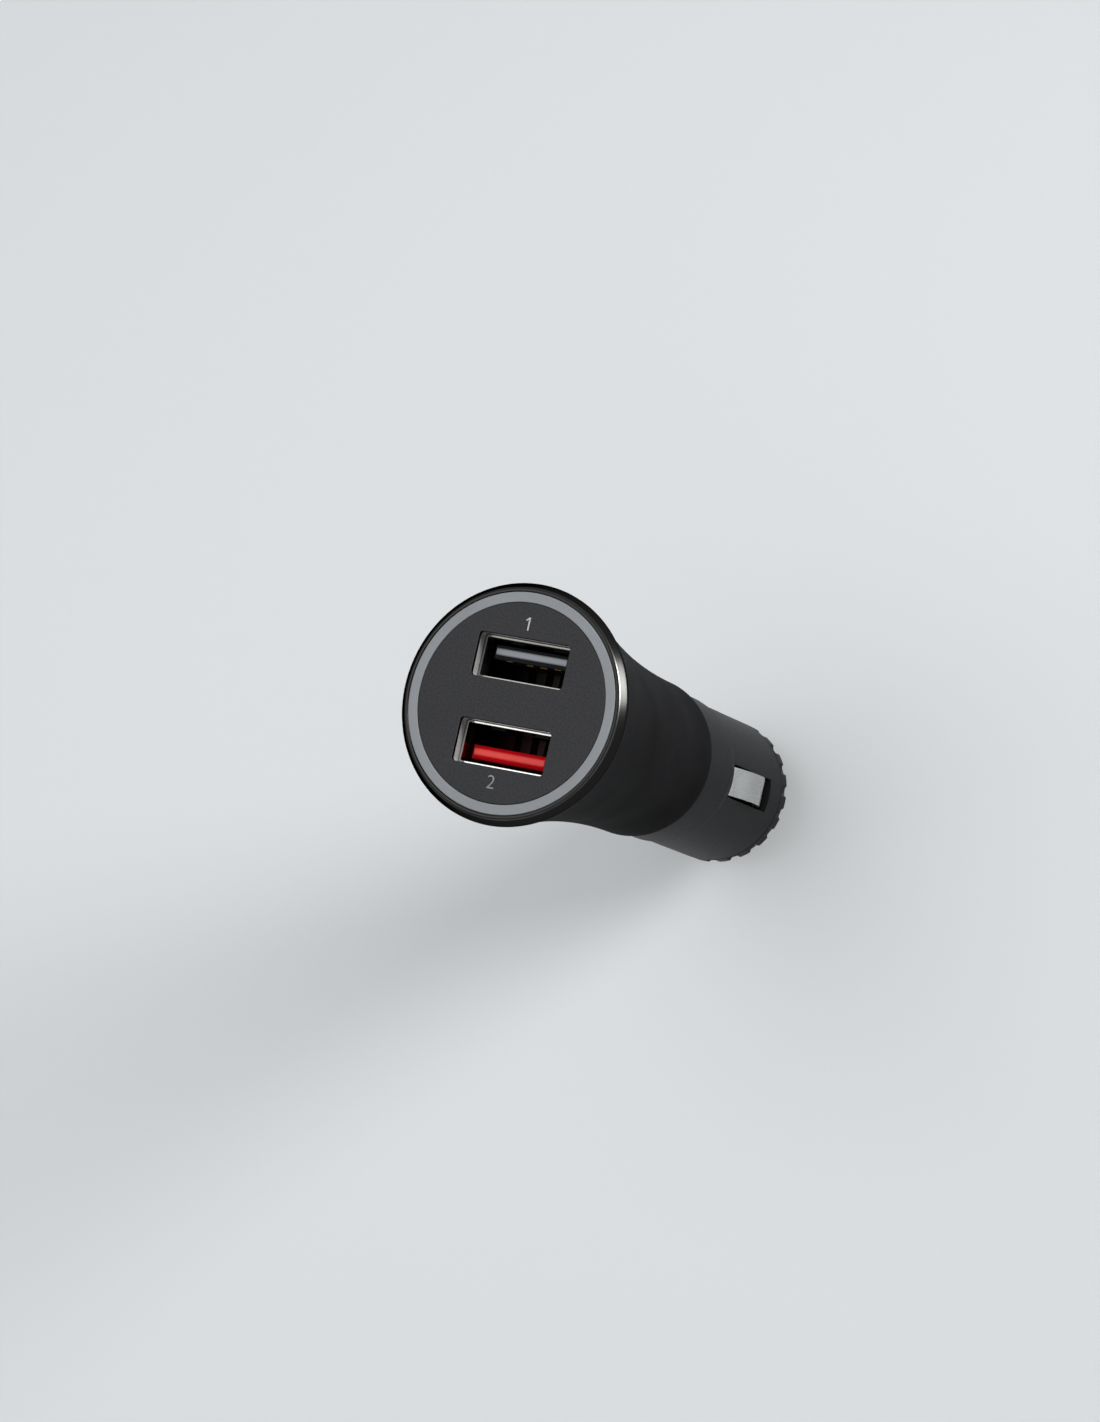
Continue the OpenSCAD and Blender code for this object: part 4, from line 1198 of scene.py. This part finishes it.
# %% Window walls
# Painted light on the lower window walls, and painted shade in the band under each rim.
face_plate.data.materials.append(window_wall_painted_light())
face_plate.data.materials.append(rim_band_painted_shade())
walls = [face for face in face_plate.data.polygons
         if abs(face.normal.z) < 0.1 and panel_z < face.center.z / MM < face_z - RIM_ROUND
         and face.center.xy.length / MM < panel_r - 0.2]
for face in walls:
    face.material_index = 1 if face.center.z / MM < band_low_z else 2
print("window wall faces:", len(walls))

# %% [markdown]
# The light is plain and soft: a pale grey world from all sides, a large lamp overhead, and a small,
# low lamp beside the plug, with a grid that keeps its light off the floor in front of it. The low
# lamp's reflection draws the bright edge on the bezel's bevel, so it stands where the bevel mirrors
# the camera's view.


# %% Lamps
def soft_lamp(name, place, size, watts, across, spread):
    """A rectangular lamp at a place in metres that faces the plug's head; across is its long way."""
    data = bpy.data.lights.new(name, "AREA")
    data.shape = "RECTANGLE"
    data.size, data.size_y = size
    data.energy = watts
    data.spread = math.radians(spread)
    lamp = placed(name, data)
    back = (Vector(place) - aim).normalized()
    side = (across - across.dot(back) * back).normalized()
    turn = Matrix((side, back.cross(side), back)).transposed().to_4x4()
    lamp.matrix_world = Matrix.Translation(place) @ turn
    lamp.visible_camera = False
    return lamp


LOW_LAMP_GAP = 0.8
BEVEL_UP = 0.66  # the bevel's normal: this much up, and the rest outwards
BEVEL_OUT = math.sqrt(1 - BEVEL_UP**2)
lit_side = math.radians(19)  # where on the bezel the bright edge lies
normal = Vector((BEVEL_OUT * math.cos(lit_side), BEVEL_OUT * math.sin(lit_side), BEVEL_UP))
way = 2 * normal.dot(toward_camera) * normal - toward_camera
low_lamp = soft_lamp("low_lamp", aim + way * LOW_LAMP_GAP, (0.4, 0.24), 0.65,
                     across=Vector((0, 0, 1)).cross(way), spread=44)
overhead = soft_lamp("overhead", (-0.35, 0.1, 0.9), (0.9, 0.7), 3.5, across=Vector((0, 1, 0)), spread=180)
print("low lamp towards", [round(v, 2) for v in way])

# %% [markdown]
# The world is the grey that a pale studio shows, so it lights and reflects the same. The floor is
# plain, pale and matte, and lies just under the tip.

# %% World and floor
world = bpy.data.worlds.new("studio")
bpy.context.scene.world = world
world.use_nodes = True
background = world.node_tree.nodes["Background"].inputs
background["Color"].default_value = srgb("#bcbec0")
background["Strength"].default_value = 1
bpy.context.scene.view_settings.view_transform = "Standard"

FLOOR_HALF = 2000
FLOOR_GAP = 0.2
floor_z = cad_bounds[0].z / MM - FLOOR_GAP
floor_mesh = bmesh.new()
bmesh.ops.create_grid(floor_mesh, x_segments=1, y_segments=1, size=FLOOR_HALF)
bmesh.ops.translate(floor_mesh, vec=(0, 0, floor_z), verts=floor_mesh.verts[:])
floor = placed("floor", in_metres("floor", floor_mesh))
floor.data.materials.append(new_material("pale_floor", Base_Color=srgb("#d3d5d6"), Roughness=0.9)[0])
print("floor at", round(floor_z, 2), "mm")
